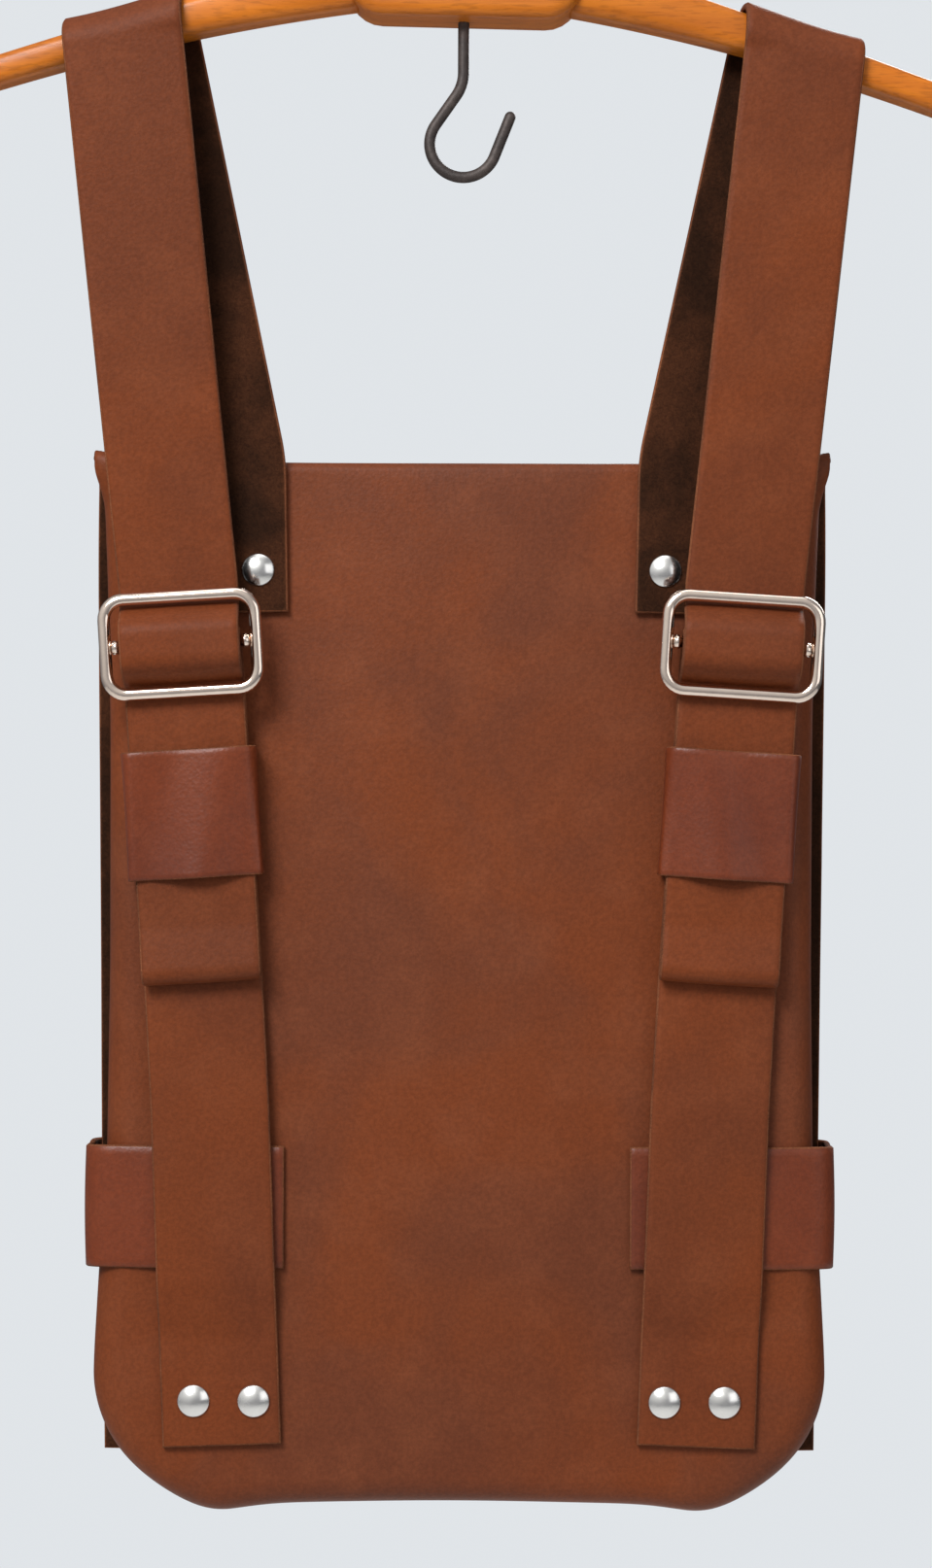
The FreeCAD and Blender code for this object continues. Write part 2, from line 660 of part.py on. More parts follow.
def arm_outline(side):
    """The arm seen from the front: two long arcs that fall towards a rounded tip."""

    def place(across, up):
        return Vector(side * across, 0, up - size("seat_height"))

    reach = size("arm_reach")
    root = size("block_wide") / 2
    root_top = place(root, size("arm_root_top"))
    root_under = place(root, size("arm_root_under"))
    tip_top = place(reach - 3, size("arm_tip_top"))
    tip_under = place(reach - 6, size("arm_tip_under"))
    furthest = place(reach, size("arm_tip"))
    middle_top = place(size("arm_set_top"), size("arm_middle_top"))
    middle_under = place(size("arm_set_under"), size("arm_middle_under"))
    top = Part.Arc(root_top, middle_top, tip_top).toShape()
    tip = Part.Arc(tip_top, furthest, tip_under).toShape()
    under = Part.Arc(tip_under, middle_under, root_under).toShape()
    end = Part.makeLine(root_under, root_top)
    return Part.Wire([top, tip, under, end])


for index, (side_name, side) in enumerate(SIDES):
    thick = size("arm_thick")
    solid = Part.Face(arm_outline(side)).extrude(Vector(0, thick, 0))
    solid.translate(Vector(0, -thick / 2, 0))
    long_edges = [
        edge
        for edge in solid.Edges
        if abs(abs(edge.CenterOfMass.y) - thick / 2) < 1e-6
        and abs(edge.CenterOfMass.x) > size("block_wide") / 2 + 0.5
    ]
    solid = solid.makeFillet(size("arm_round"), long_edges)
    blank = own_shape(f"arm_blank_{side_name}", solid)
    node(cut(f"arm_bored_{side_name}", blank, [dowel_holes[index]]), f"hanger_arm_{side_name}")

# ---------------------------------------------------------------- hooks and collar


def wire_rod(route, diameter):
    """Round wire along a route of tangent edges."""
    spine = Part.Wire(route)
    start = route[0].Vertexes[0].Point
    heading = route[0].tangentAt(route[0].FirstParameter)
    ring = Part.Wire(Part.Circle(start, heading, diameter / 2).toShape())
    return spine.makePipeShell([ring], True, False)


def arc_by_angle(centre, radius, first, last):
    """An arc in the XZ plane from one angle to another, through their middle."""
    points = []
    for angle in (first, (first + last) / 2, last):
        turned = math.radians(angle)
        points.append(centre + Vector(radius * math.cos(turned), 0, radius * math.sin(turned)))
    return Part.Arc(*points).toShape()


def question_hook(centre, radius, neck, stem_end, finish, up):
    """A stem, a neck bend and a round hook in line with the stem.

    up is 1 for a hook that rises from its stem and -1 for one that hangs from it.
    finish is the angle, about the hook's centre, at which its round part ends.
    """
    swing = math.degrees(math.acos(neck / (neck + radius)))
    rise = math.sqrt((neck + radius) ** 2 - neck**2)
    base = centre - Vector(0, 0, up * rise)
    elbow = base + Vector(up * neck, 0, 0)
    start = 180 if up > 0 else 0
    stem = Part.makeLine(Vector(0, 0, stem_end), base)
    small = arc_by_angle(elbow, neck, start, start - swing)
    large = arc_by_angle(centre, radius, 180 - start - swing, finish)
    return [stem, small, large]


seat = Vector(0, 0, 0)
hook_radius = size("hook_inside") + size("hook_wire") / 2
hook_centre = seat - Vector(0, 0, size("hook_inside"))
head_top = block_top - size("head_clear")
head_low = head_top - size("head_tall")
hook_route = question_hook(
    hook_centre, hook_radius, size("hook_neck"), head_low + 0.2, size("hook_end"), 1
)
hook_solid = wire_rod(hook_route, size("hook_wire"))
tip_ball = Part.makeSphere(size("hook_wire") / 2, hook_route[-1].Vertexes[-1].Point)
head = Part.makeCylinder(size("head_wide") / 2, size("head_tall"), Vector(0, 0, head_low))
hook_solid = hook_solid.fuse([tip_ball, head]).removeSplitter()
print("hook solids", len(hook_solid.Solids), hook_solid.isValid())
node(own_shape("top_hook", hook_solid.Solids[0]), "top_hook")

collar = cylinder("collar_blank", "ferrule_wide", "Sizes.ferrule_tall", Vector(0, 0, block_top))
collar_hole = doc.addObject("Part::Cylinder", "collar_hole")
bind(collar_hole, Radius="Sizes.hook_wire / 2 + 0.08", Height="Sizes.ferrule_tall + 2")
collar_hole.Placement.Base = Vector(0, 0, block_top - 1)
node(cut("collar_bored", collar, [collar_hole]), "hook_collar")

under_centre = Vector(0, 0, size("under_up") - size("seat_height"))
screwed = block_low.z + size("under_screw")
under_route = question_hook(
    under_centre, size("under_radius"), size("under_neck"), screwed, size("under_end"), -1
)
last = under_route[-1]
tip_start = last.Vertexes[-1].Point
flare = last.tangentAt(last.LastParameter).normalize()
tip_end = tip_start + flare * size("under_flare")
under_route.append(Part.makeLine(tip_start, tip_end))
under_solid = wire_rod(under_route, size("under_wire"))
under_ball = Part.makeSphere(size("under_wire") / 2, tip_end)
flange_low = Vector(0, 0, block_low.z - size("flange_tall"))
flange = Part.makeCylinder(size("flange_wide") / 2, size("flange_tall"), flange_low)
under_solid = under_solid.fuse([under_ball, flange]).removeSplitter()
print("under hook solids", len(under_solid.Solids), under_solid.isValid())
node(own_shape("under_hook", under_solid.Solids[0]), "under_hook")

# ---------------------------------------------------------------- checks and files

doc.recompute()
for piece in doc.Objects:
    broken = [state for state in piece.State if state in ("Invalid", "Error")]
    if broken:
        raise RuntimeError(f"{piece.Label} is {broken}")
for piece in nodes:
    if piece.Shape.isNull() or not piece.Shape.isValid() or piece.Shape.Volume <= 0:
        raise RuntimeError(f"{piece.Label} has no sound shape")

os.makedirs("parts", exist_ok=True)
for piece in nodes:
    piece.Shape.exportStep(f"parts/{piece.Label}.step")
    print(piece.Label, len(piece.Shape.Solids), round(piece.Shape.Volume))
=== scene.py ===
import bpy
import math
import numpy as np
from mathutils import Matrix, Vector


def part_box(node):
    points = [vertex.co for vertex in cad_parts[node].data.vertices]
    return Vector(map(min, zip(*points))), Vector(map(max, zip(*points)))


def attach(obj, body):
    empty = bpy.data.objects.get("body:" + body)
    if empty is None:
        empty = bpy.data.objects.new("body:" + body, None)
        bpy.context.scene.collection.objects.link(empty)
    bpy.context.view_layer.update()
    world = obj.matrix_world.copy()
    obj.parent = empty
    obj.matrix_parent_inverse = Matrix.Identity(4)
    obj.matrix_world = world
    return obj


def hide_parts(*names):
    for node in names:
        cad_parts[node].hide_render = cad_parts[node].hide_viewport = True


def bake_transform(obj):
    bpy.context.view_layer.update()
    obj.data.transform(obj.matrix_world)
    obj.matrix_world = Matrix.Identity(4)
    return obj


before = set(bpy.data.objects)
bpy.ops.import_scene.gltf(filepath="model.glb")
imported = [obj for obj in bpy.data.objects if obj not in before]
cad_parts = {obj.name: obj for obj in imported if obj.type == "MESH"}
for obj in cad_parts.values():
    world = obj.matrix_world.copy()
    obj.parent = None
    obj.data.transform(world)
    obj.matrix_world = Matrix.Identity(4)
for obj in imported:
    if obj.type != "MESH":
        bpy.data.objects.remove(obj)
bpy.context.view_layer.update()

# ------------------------------------------------------------------ the bag's own measures
# Sizes are in millimetres. A place is given across the bag, out from the back panel's
# face towards the wearer, and up from the bag's bottom edge. HIDE and STRAP are the
# thicknesses of the two leathers, and CORNER is the radius of the bag's bottom corners.

MM = 0.001
panel_low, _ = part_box("back_panel")
panel_face = panel_low.y / MM
bag_bottom = panel_low.z / MM
front_low, front_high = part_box("front_panel")
flap_low, flap_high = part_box("flap")
bag_depth = front_high.y / MM - panel_face
HIDE = 2.2
STRAP = 2.8
CORNER = 50.0
INWARD = np.array([0.0, 1.0, 0.0])


def place(across, out, up):
    """Places in metres, from arrays or numbers in the bag's own measures."""
    across, out, up = np.broadcast_arrays(across, out, up)
    return np.stack([across, panel_face - out, bag_bottom + up], axis=-1) * MM


# ------------------------------------------------------------------ meshes


def solid(name, points, faces, finishes, finish_of_face=None, smooth=True):
    """A mesh object from whole arrays of points and quads, with its materials."""
    mesh = bpy.data.meshes.new(name)
    mesh.from_pydata(points.tolist(), [], faces)
    for finish in finishes:
        mesh.materials.append(finish)
    mesh.polygons.foreach_set("use_smooth", np.full(len(mesh.polygons), smooth))
    if finish_of_face is not None:
        mesh.polygons.foreach_set("material_index", finish_of_face)
    piece = bpy.data.objects.new(name, mesh)
    bpy.context.scene.collection.objects.link(piece)
    return piece


def quads(index):
    """The quads of a grid of vertex numbers."""
    corners = [index[:-1, :-1], index[:-1, 1:], index[1:, 1:], index[1:, :-1]]
    return np.stack(corners, axis=-1).reshape(-1, 4)


def direction(vectors):
    """Vectors brought to length one."""
    return vectors / np.maximum(np.linalg.norm(vectors, axis=-1, keepdims=True), 1e-12)


def edge_distance(skin, axis, first_joined, last_joined):
    """How far each grid point is, along one axis, from the nearer free end."""
    steps = np.linalg.norm(np.diff(skin, axis=axis), axis=-1)
    pad = [(0, 0), (0, 0)]
    pad[axis] = (1, 0)
    from_first = np.cumsum(np.pad(steps, pad), axis=axis)
    from_last = from_first.max(axis=axis, keepdims=True) - from_first
    return np.minimum(from_first + 9 * first_joined, from_last + 9 * last_joined)


def leather(name, skin, thick, finishes, loop=False, joined=()):
    """A cut piece of leather with thickness, from the grid of its grain side.

    The grain side faces the cross product of a step along a row and a step down a column.
    The flesh side lies the thickness below it, and the cut edge between them is chamfered,
    except on the rows named in joined ("first", "last"), which meet another piece flush.
    The three finishes are the grain, the flesh side and the cut edge.
    """
    skin = np.asarray(skin) * 1.0
    thick = thick * MM
    if loop:
        around = np.concatenate([skin[:, -1:], skin, skin[:, :1]], axis=1)
        along = np.gradient(around, axis=1)[:, 1:-1]
    else:
        along = np.gradient(skin, axis=1)
    down = np.gradient(skin, axis=0)
    up = direction(np.cross(along, down))
    rows, columns = skin.shape[:2]
    from_edge = edge_distance(skin, 0, "first" in joined, "last" in joined)
    if not loop:
        from_edge = np.minimum(from_edge, edge_distance(skin, 1, False, False))
    chamfer = thick * 0.22
    drawn = skin.copy()
    if "first" not in joined:
        drawn[0] -= direction(skin[0] - skin[1]) * chamfer
    if "last" not in joined:
        drawn[-1] -= direction(skin[-1] - skin[-2]) * chamfer
    if not loop:
        drawn[:, 0] -= direction(skin[:, 0] - skin[:, 1]) * chamfer
        drawn[:, -1] -= direction(skin[:, -1] - skin[:, -2]) * chamfer
    number = np.arange(rows * columns).reshape(rows, columns)
    if loop:
        number = np.concatenate([number, number[:, :1]], axis=1)
        rims = [number[0], number[-1][::-1]]
    else:
        rims = [
            np.concatenate([number[0], number[1:, -1], number[-1, -2::-1], number[-2::-1, 0]])
        ]
    flat_skin = skin.reshape(-1, 3)
    flat_up = up.reshape(-1, 3)
    size = rows * columns
    points = [drawn.reshape(-1, 3), (drawn - up * thick).reshape(-1, 3)]
    distances = [from_edge.ravel(), from_edge.ravel()]
    faces = [quads(number), quads(number)[:, ::-1] + size]
    marks = [np.zeros(len(faces[0])), np.ones(len(faces[1]))]
    start = 2 * size
    for rim in rims:
        ring = rim[:-1]
        upper = flat_skin[ring] - flat_up[ring] * chamfer
        lower = flat_skin[ring] - flat_up[ring] * (thick - chamfer)
        points += [upper, lower]
        distances += [np.zeros(len(ring)), np.zeros(len(ring))]
        count = len(ring)
        first = start + np.arange(count)
        second = first + count
        stack = np.stack([ring, first, second, ring + size])
        stack = np.concatenate([stack, stack[:, :1]], axis=1)
        band = quads(stack)[:, ::-1]
        faces.append(band)
        marks.append(np.full(len(band), 2))
        start += 2 * count
    piece = solid(
        name,
        np.concatenate(points),
        np.concatenate(faces).tolist(),
        finishes,
        np.concatenate(marks).astype(np.int32),
    )
    joints = np.zeros(len(piece.data.vertices), bool)
    for row, end in (("first", number[0]), ("last", number[-1])):
        if row in joined:
            joints[end] = joints[end + size] = True
    ends = np.empty(2 * len(piece.data.edges), np.int32)
    piece.data.edges.foreach_get("vertices", ends)
    sharp = piece.data.attributes.new("sharp_edge", "BOOLEAN", "EDGE")
    sharp.data.foreach_set("value", joints[ends].reshape(-1, 2).all(axis=1))
    edge = piece.data.attributes.new("from_edge", "FLOAT", "POINT")
    edge.data.foreach_set("value", (np.concatenate(distances) / MM).astype(np.float32))
    return piece


def turned(name, rings, finish):
    """A closed solid from rings of points, one after another, with a pole at each end."""
    rings = np.asarray(rings)
    count, sides = rings.shape[:2]
    number = np.arange(count * sides).reshape(count, sides)
    wrapped = np.concatenate([number, number[:, :1]], axis=1)
    poles = np.stack([rings[0].mean(axis=0), rings[-1].mean(axis=0)])
    points = np.concatenate([rings.reshape(-1, 3), poles])
    first, last = count * sides, count * sides + 1
    start = [[first, b, a] for a, b in zip(wrapped[0, :-1], wrapped[0, 1:])]
    end = [[last, a, b] for a, b in zip(wrapped[-1, :-1], wrapped[-1, 1:])]
    body = quads(wrapped)
    faces = body[:, ::-1].tolist() + [face[::-1] for face in start + end]
    a, b, c = points[body[:, 0]], points[body[:, 1]], points[body[:, 2]]
    middle = points.mean(axis=0)
    if np.einsum("ij,ij->", a - middle, np.cross(b - a, c - a)) > 0:
        faces = [face[::-1] for face in faces]
    return solid(name, points, faces, [finish])


def wire(name, path, radius, finish, sides, closed=False, broad=1.0):
    """Wire in an upright plane: round-ended unless closed, broad times as wide as deep."""
    radius = np.full(len(path), radius)
    if closed:
        heading = direction(np.roll(path, -1, axis=0) - np.roll(path, 1, axis=0))
    else:
        heading = direction(np.gradient(path, axis=0))
        angle = np.linspace(0.12, np.pi / 2, 6)[:-1]
        reach = radius[0] * np.cos(angle)
        start = path[0] - heading[0] * reach[:, None]
        end = path[-1] + heading[-1] * reach[::-1, None]
        path = np.concatenate([start, path, end])
        ends = radius[0] * np.sin(angle)
        radius = np.concatenate([ends, radius, ends[::-1]])
        heading = np.concatenate(
            [np.repeat(heading[:1], 5, axis=0), heading, np.repeat(heading[-1:], 5, axis=0)]
        )
    side = direction(np.cross(INWARD, heading))
    turn = np.linspace(0, 2 * np.pi, sides, endpoint=False)
    rings = (
        path[:, None]
        + radius[:, None, None] * broad * np.cos(turn)[None, :, None] * side[:, None]
        + radius[:, None, None] * np.sin(turn)[None, :, None] * INWARD
    )
    if not closed:
        return turned(name, rings, finish)
    number = np.arange(rings.shape[0] * sides).reshape(-1, sides)
    number = np.concatenate([number, number[:1]])
    number = np.concatenate([number, number[:, :1]], axis=1)
    return solid(name, rings.reshape(-1, 3), quads(number)[:, ::-1].tolist(), [finish])


# ------------------------------------------------------------------ node helpers


def fill(tree, item, **values):
    """A node's inputs set by name, from sockets or plain values; an underscore is a space."""
    for name, value in values.items():
        feed(tree, value, item.inputs[name.replace("_", " ")])
    return item


def feed(tree, value, socket):
    """An input linked to a socket, or set to a plain number, vector or colour."""
    if isinstance(value, bpy.types.NodeSocket):
        tree.links.new(value, socket)
    else:
        socket.default_value = (*value, 1) if socket.type == "RGBA" else value


def add(tree, kind, **values):
    """A new shader node with its inputs filled."""
    return fill(tree, tree.nodes.new(kind), **values)


def ramp(tree, source, stops):
    """An eased colour ramp over a value, from (position, grey or colour) stops."""
    item = add(tree, "ShaderNodeValToRGB", Fac=source)
    item.color_ramp.interpolation = "EASE"
    elements = item.color_ramp.elements
    while len(elements) < len(stops):
        elements.new(0.5)
    for element, (position, colour) in zip(elements, stops):
        element.position = position
        element.color = (*np.broadcast_to(colour, 3), 1)
    return item.outputs["Color"]


def blend_colours(tree, amount, first, second, kind="MIX"):
    """Two colours mixed by an amount; each may be a socket or a plain colour."""
    item = tree.nodes.new("ShaderNodeMix")
    item.data_type = "RGBA"
    item.blend_type = kind
    sockets = {socket.name: socket for socket in item.inputs if socket.enabled}
    for name, value in (("Factor", amount), ("A", first), ("B", second)):
        feed(tree, value, sockets[name])
    return [socket for socket in item.outputs if socket.enabled][0]


def dimmed(tree, colour, factor):
    """A colour multiplied by a grey factor."""
    return blend_colours(tree, 1.0, colour, factor, "MULTIPLY")


def arithmetic(tree, kind, first, second):
    """One sum on two numbers or sockets."""
    item = tree.nodes.new("ShaderNodeMath")
    item.operation = kind
    for socket, value in zip(item.inputs, (first, second)):
        feed(tree, value, socket)
    return item.outputs[0]


def object_place(tree):
    """Where a point lies on its object, in metres."""
    return tree.nodes.new("ShaderNodeTexCoord").outputs["Object"]


def edge_factor(tree, value):
    """A factor that is the value at a cut edge and 1 from a millimetre inside it."""
    edge = tree.nodes.new("ShaderNodeAttribute")
    edge.attribute_name = "from_edge"
    return ramp(tree, edge.outputs["Fac"], [(0.0, value), (1.0, 1.0)])


def new_finish(name):
    """An empty material: it, its tree and its Principled shader."""
    finish = bpy.data.materials.new(name)
    finish.use_nodes = True
    return finish, finish.node_tree, finish.node_tree.nodes["Principled BSDF"]


def noise(tree, coordinates, scale, detail, roughness, distortion=0.0):
    """A noise pattern's value over the coordinates."""
    item = add(tree, "ShaderNodeTexNoise", Vector=coordinates, Scale=scale, Detail=detail)
    fill(tree, item, Roughness=roughness, Distortion=distortion)
    return item.outputs["Fac"]


def relief(tree, shader, height, strength, distance):
    """A bump from a height, fed to the shader's normal."""
    item = add(tree, "ShaderNodeBump", Strength=strength, Distance=distance, Height=height)
    fill(tree, shader, Normal=item.outputs["Normal"])


# ------------------------------------------------------------------ cognac leather
# Waxed full-grain leather, dyed through, with soft clouds where the wax lies thicker, fine
# pores, and edges that darken where they were cut and rubbed. The flesh side is left raw.


def hide_group():
    """Node group of the grain side: its colour, roughness and relief."""
    group = bpy.data.node_groups.new("hide_surface", "ShaderNodeTree")
    for name in ("Tone", "Shade", "Light"):
        group.interface.new_socket(name, in_out="INPUT", socket_type="NodeSocketColor")
    for name in ("Roughness Low", "Roughness High"):
        group.interface.new_socket(name, in_out="INPUT", socket_type="NodeSocketFloat")
    group.interface.new_socket("Color", in_out="OUTPUT", socket_type="NodeSocketColor")
    group.interface.new_socket("Roughness", in_out="OUTPUT", socket_type="NodeSocketFloat")
    group.interface.new_socket("Height", in_out="OUTPUT", socket_type="NodeSocketFloat")
    given = group.nodes.new("NodeGroupInput")
    out = group.nodes.new("NodeGroupOutput")
    spot = object_place(group)
    clouds = noise(group, spot, 11, 4, 0.5, 0.6)
    patches = noise(group, spot, 46, 4, 0.6)
    fine = noise(group, spot, 620, 3, 0.7)
    waxed = ramp(group, clouds, [(0.36, 0.0), (0.62, 1.0)])
    tone = blend_colours(group, waxed, given.outputs["Shade"], given.outputs["Tone"])
    warm = arithmetic(group, "MULTIPLY", ramp(group, patches, [(0.42, 0.0), (0.75, 1.0)]), 0.45)
    tone = blend_colours(group, warm, tone, given.outputs["Light"])
    tone = dimmed(group, tone, ramp(group, fine, [(0.3, 0.86), (0.72, 1.1)]))
    tone = dimmed(group, tone, edge_factor(group, 0.9))
    low, high = given.outputs["Roughness Low"], given.outputs["Roughness High"]
    spread = add(group, "ShaderNodeMapRange", Value=patches, To_Min=low, To_Max=high)
    pores = add(group, "ShaderNodeTexVoronoi", Vector=spot, Scale=780.0)
    cells = arithmetic(group, "MULTIPLY", pores.outputs["Distance"], 0.5)
    wrinkles = noise(group, spot, 210, 4, 0.65)
    height = arithmetic(group, "ADD", cells, arithmetic(group, "MULTIPLY", wrinkles, 0.9))
    height = arithmetic(group, "ADD", height, arithmetic(group, "MULTIPLY", fine, 0.35))
    fill(group, out, Color=tone, Roughness=spread.outputs["Result"], Height=height)
    return group


hide_surface = hide_group()


def grain_finish(name, tone, shade, light, roughness, shine):
    """The grain side of a leather in three tones, with its least and most roughness."""
    finish, tree, shader = new_finish(name)
    surface = tree.nodes.new("ShaderNodeGroup")
    surface.node_tree = hide_surface
    fill(tree, surface, Tone=tone, Shade=shade, Light=light)
    fill(tree, surface, Roughness_Low=roughness[0], Roughness_High=roughness[1])
    fill(tree, shader, Base_Color=surface.outputs["Color"], Roughness=surface.outputs["Roughness"])
    fill(tree, shader, Specular_IOR_Level=shine)
    relief(tree, shader, surface.outputs["Height"], 0.35, 0.00035)
    return finish


def raw_finish(name, tone, shade, scale=900.0):
    """Raw flesh side: short matted fibres, matt, with darker smudges."""
    finish, tree, shader = new_finish(name)
    spot = object_place(tree)
    smudge = noise(tree, spot, 26, 4, 0.6, 0.4)
    fibres = noise(tree, spot, scale, 4, 0.75, 0.8)
    colour = blend_colours(tree, ramp(tree, smudge, [(0.35, 0.0), (0.65, 1.0)]), shade, tone)
    colour = dimmed(tree, colour, ramp(tree, fibres, [(0.3, 0.65), (0.7, 1.3)]))
    colour = dimmed(tree, colour, edge_factor(tree, 1.5))
    fill(tree, shader, Base_Color=colour, Roughness=0.92, Specular_IOR_Level=0.08)
    relief(tree, shader, fibres, 0.6, 0.0006)
    return finish


# Three hides: one for the pouch, a redder and glossier one for the keepers and the closure
# band, and one for the straps.
panel_grain = grain_finish(
    "panel_leather_grain",
    tone=(0.156, 0.0365, 0.0105),
    shade=(0.123, 0.033, 0.0135),
    light=(0.178, 0.049, 0.0185),
    roughness=(0.4, 0.56),
    shine=0.14,
)
keeper_grain = grain_finish(
    "keeper_leather_grain",
    tone=(0.15, 0.029, 0.008),
    shade=(0.118, 0.024, 0.009),
    light=(0.17, 0.038, 0.013),
    roughness=(0.33, 0.46),
    shine=0.3,
)
strap_grain = grain_finish(
    "strap_leather_grain",
    tone=(0.155, 0.036, 0.0102),
    shade=(0.126, 0.0315, 0.0112),
    light=(0.178, 0.047, 0.0165),
    roughness=(0.44, 0.6),
    shine=0.11,
)
suede = raw_finish("flesh_side", (0.05, 0.017, 0.0072), (0.021, 0.008, 0.0037))
cut_edge = raw_finish("cut_edge", (0.13, 0.045, 0.02), (0.08, 0.028, 0.014), 1500.0)
PANEL_FINISHES = [panel_grain, suede, cut_edge]
STRAP_FINISHES = [strap_grain, suede, cut_edge]
KEEPER_FINISHES = [keeper_grain, suede, cut_edge]

# ------------------------------------------------------------------ pouch: back and front panels
# Each panel is one hide whose sides and bottom are rolled round towards the other panel and
# sewn to the gusset from inside, so the rim is a soft roll and not a corner.


def half_width(up):
    """Half the bag's width at a height: waisted a little, and fullest near the bottom."""
    heights = [-10, 20, 54, 88, 130, 200, 290, 340, 390]
    widths = [135.4, 135.8, 135.5, 133.6, 130.8, 129.9, 130.1, 131.2, 133.2]
    smooth = np.linspace(-10, 390, 800)
    line = np.interp(smooth, heights, widths)
    kernel = np.hanning(61)
    padded = np.pad(line, 30, mode="edge")
    line = np.convolve(padded, kernel / kernel.sum(), mode="valid")
    line = line + 2.6 * np.exp(-(((smooth - 381) / 6) ** 2))
    return np.interp(up, smooth, line)


def spread_values(low, high, roll, fine, coarse):
    """Grid lines from low to high: close together within a roll's length of each end."""
    left = np.arange(low, low + roll, fine)
    right = np.arange(high - roll, high, fine)
    middle = np.arange(left[-1] + coarse / 2, right[0], coarse)
    return np.concatenate([left, middle, right, [high]])


WRAP = 4.0  # how far a rolled side runs on past its quarter circle


def rolled_panel(top, radius):
    """Across, depth and height of a panel's grain side, as grids.

    On the flat pattern a point has a distance beyond the flat part. That distance is bent
    round a quarter circle of the roll's radius and then runs straight inwards by WRAP.
    Round the bottom corners the pattern's squares become circles about the corner's centre.
    """
    beyond = radius * math.pi / 2 + WRAP
    nominal = half_width(top / 2)
    flat_half = nominal - radius
    inner_corner = CORNER - radius
    fine_part = beyond + inner_corner
    columns = spread_values(-(flat_half + beyond), flat_half + beyond, fine_part, 1.6, 4.0)
    rows = spread_values(radius - beyond, top, fine_part, 1.6, 4.0)[::-1]
    across, up = np.meshgrid(columns, rows)
    sign = np.sign(across) + (across == 0)
    across = np.abs(across)
    corner_across = flat_half - inner_corner
    corner_up = radius + inner_corner
    gap_across = across - corner_across
    gap_up = corner_up - up
    in_corner = (gap_across > 0) & (gap_up > 0)
    on_side = ~in_corner & (gap_across > gap_up)
    on_bottom = ~in_corner & ~on_side
    reach = np.maximum(gap_across, gap_up) - inner_corner
    length = np.maximum(np.hypot(gap_across, gap_up), 1e-9)
    angle = np.clip(reach / radius, 0, math.pi / 2)
    past = np.maximum(reach - radius * math.pi / 2, 0)
    outward = inner_corner + np.where(reach > 0, radius * np.sin(angle), reach)
    depth = np.where(reach > 0, radius * (1 - np.cos(angle)), 0) + past
    new_across = np.select(
        [in_corner, on_side],
        [corner_across + gap_across / length * outward, corner_across + outward],
        across,
    )
    new_up = np.select(
        [in_corner, on_bottom], [corner_up - gap_up / length * outward, corner_up - outward], up
    )
    return sign * new_across * half_width(new_up) / nominal, depth, new_up


def bottom_sag(across, up):
    """How far the bottom edge hangs below the line: a low lobe under each strap."""
    lobes = 2.6 * np.exp(-(((np.abs(across) - 92) / 17) ** 2))
    arch = 1.6 * np.exp(-((across / 60) ** 2))
    return (lobes - arch) * np.clip(1 - up / 60, 0, 1) ** 2


fold_up = flap_high.z / MM - bag_bottom
fold_start = fold_up - 4.0
back_across, back_depth, back_up = rolled_panel(fold_start, 11.0)
opened = np.clip((back_up - (fold_start - 16)) / 16, 0, 1)
back_depth = back_depth * (1 - 0.8 * opened**2 * (3 - 2 * opened))
risen = np.clip(back_up / fold_start, 0, 1)
swell = 3.2 * np.exp(-((back_across / 46) ** 4)) * np.sin(risen * math.pi) ** 0.6
hollow = 0.7 * np.sin(back_across / 23 + 1.0) * np.sin(back_up / 61 + 0.6)
hollow = hollow * np.exp(-((back_across / 80) ** 4))
back_out = swell + hollow - back_depth
back_up = back_up - bottom_sag(back_across, back_up)
over = np.linspace(math.pi / 2, 0, 9)[:-1, None]
fold_radius = 3.6
back_across = np.concatenate([np.repeat(back_across[:1], 8, axis=0), back_across])
back_out = np.concatenate([back_out[0] - fold_radius * (1 - np.cos(over)), back_out])
back_up = np.concatenate([back_up[0] + fold_radius * np.sin(over), back_up])
ear_lift = 4.4 * (np.abs(back_across) / 135) ** 5
back_up = back_up + ear_lift * np.clip((back_up - fold_start + 9) / 12, 0, 1)
back_panel = leather(
    "back_panel_leather",
    place(back_across, back_out, back_up)[:, ::-1],
    HIDE,
    PANEL_FINISHES,
    joined=("first",),
)
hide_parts("back_panel")
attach(back_panel, "bag")

front_top = (front_high.z / MM) - bag_bottom - 1
front_across, front_depth, front_up = rolled_panel(front_top, 9.0)
top_depth = (front_low.y / MM) - panel_face + HIDE
risen = np.clip(front_up / front_top, 0, 1)
belly = 2.5 * np.sin(risen * math.pi) * np.exp(-((front_across / 90) ** 4))
front_plane = bag_depth + (top_depth - bag_depth) * front_up / front_top - 0.6
front_out = -(front_plane - front_depth) + belly
front_up = front_up - bottom_sag(front_across, front_up)
front_panel = leather(
    "front_panel_leather", place(front_across, front_out, front_up), HIDE, PANEL_FINISHES
)
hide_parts("front_panel")
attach(front_panel, "bag")

# ------------------------------------------------------------------ gusset
# One strip that runs down one side, under the bottom and up the other side between the two
# panels. The bag hangs empty, so the strip caves in a little along its middle.

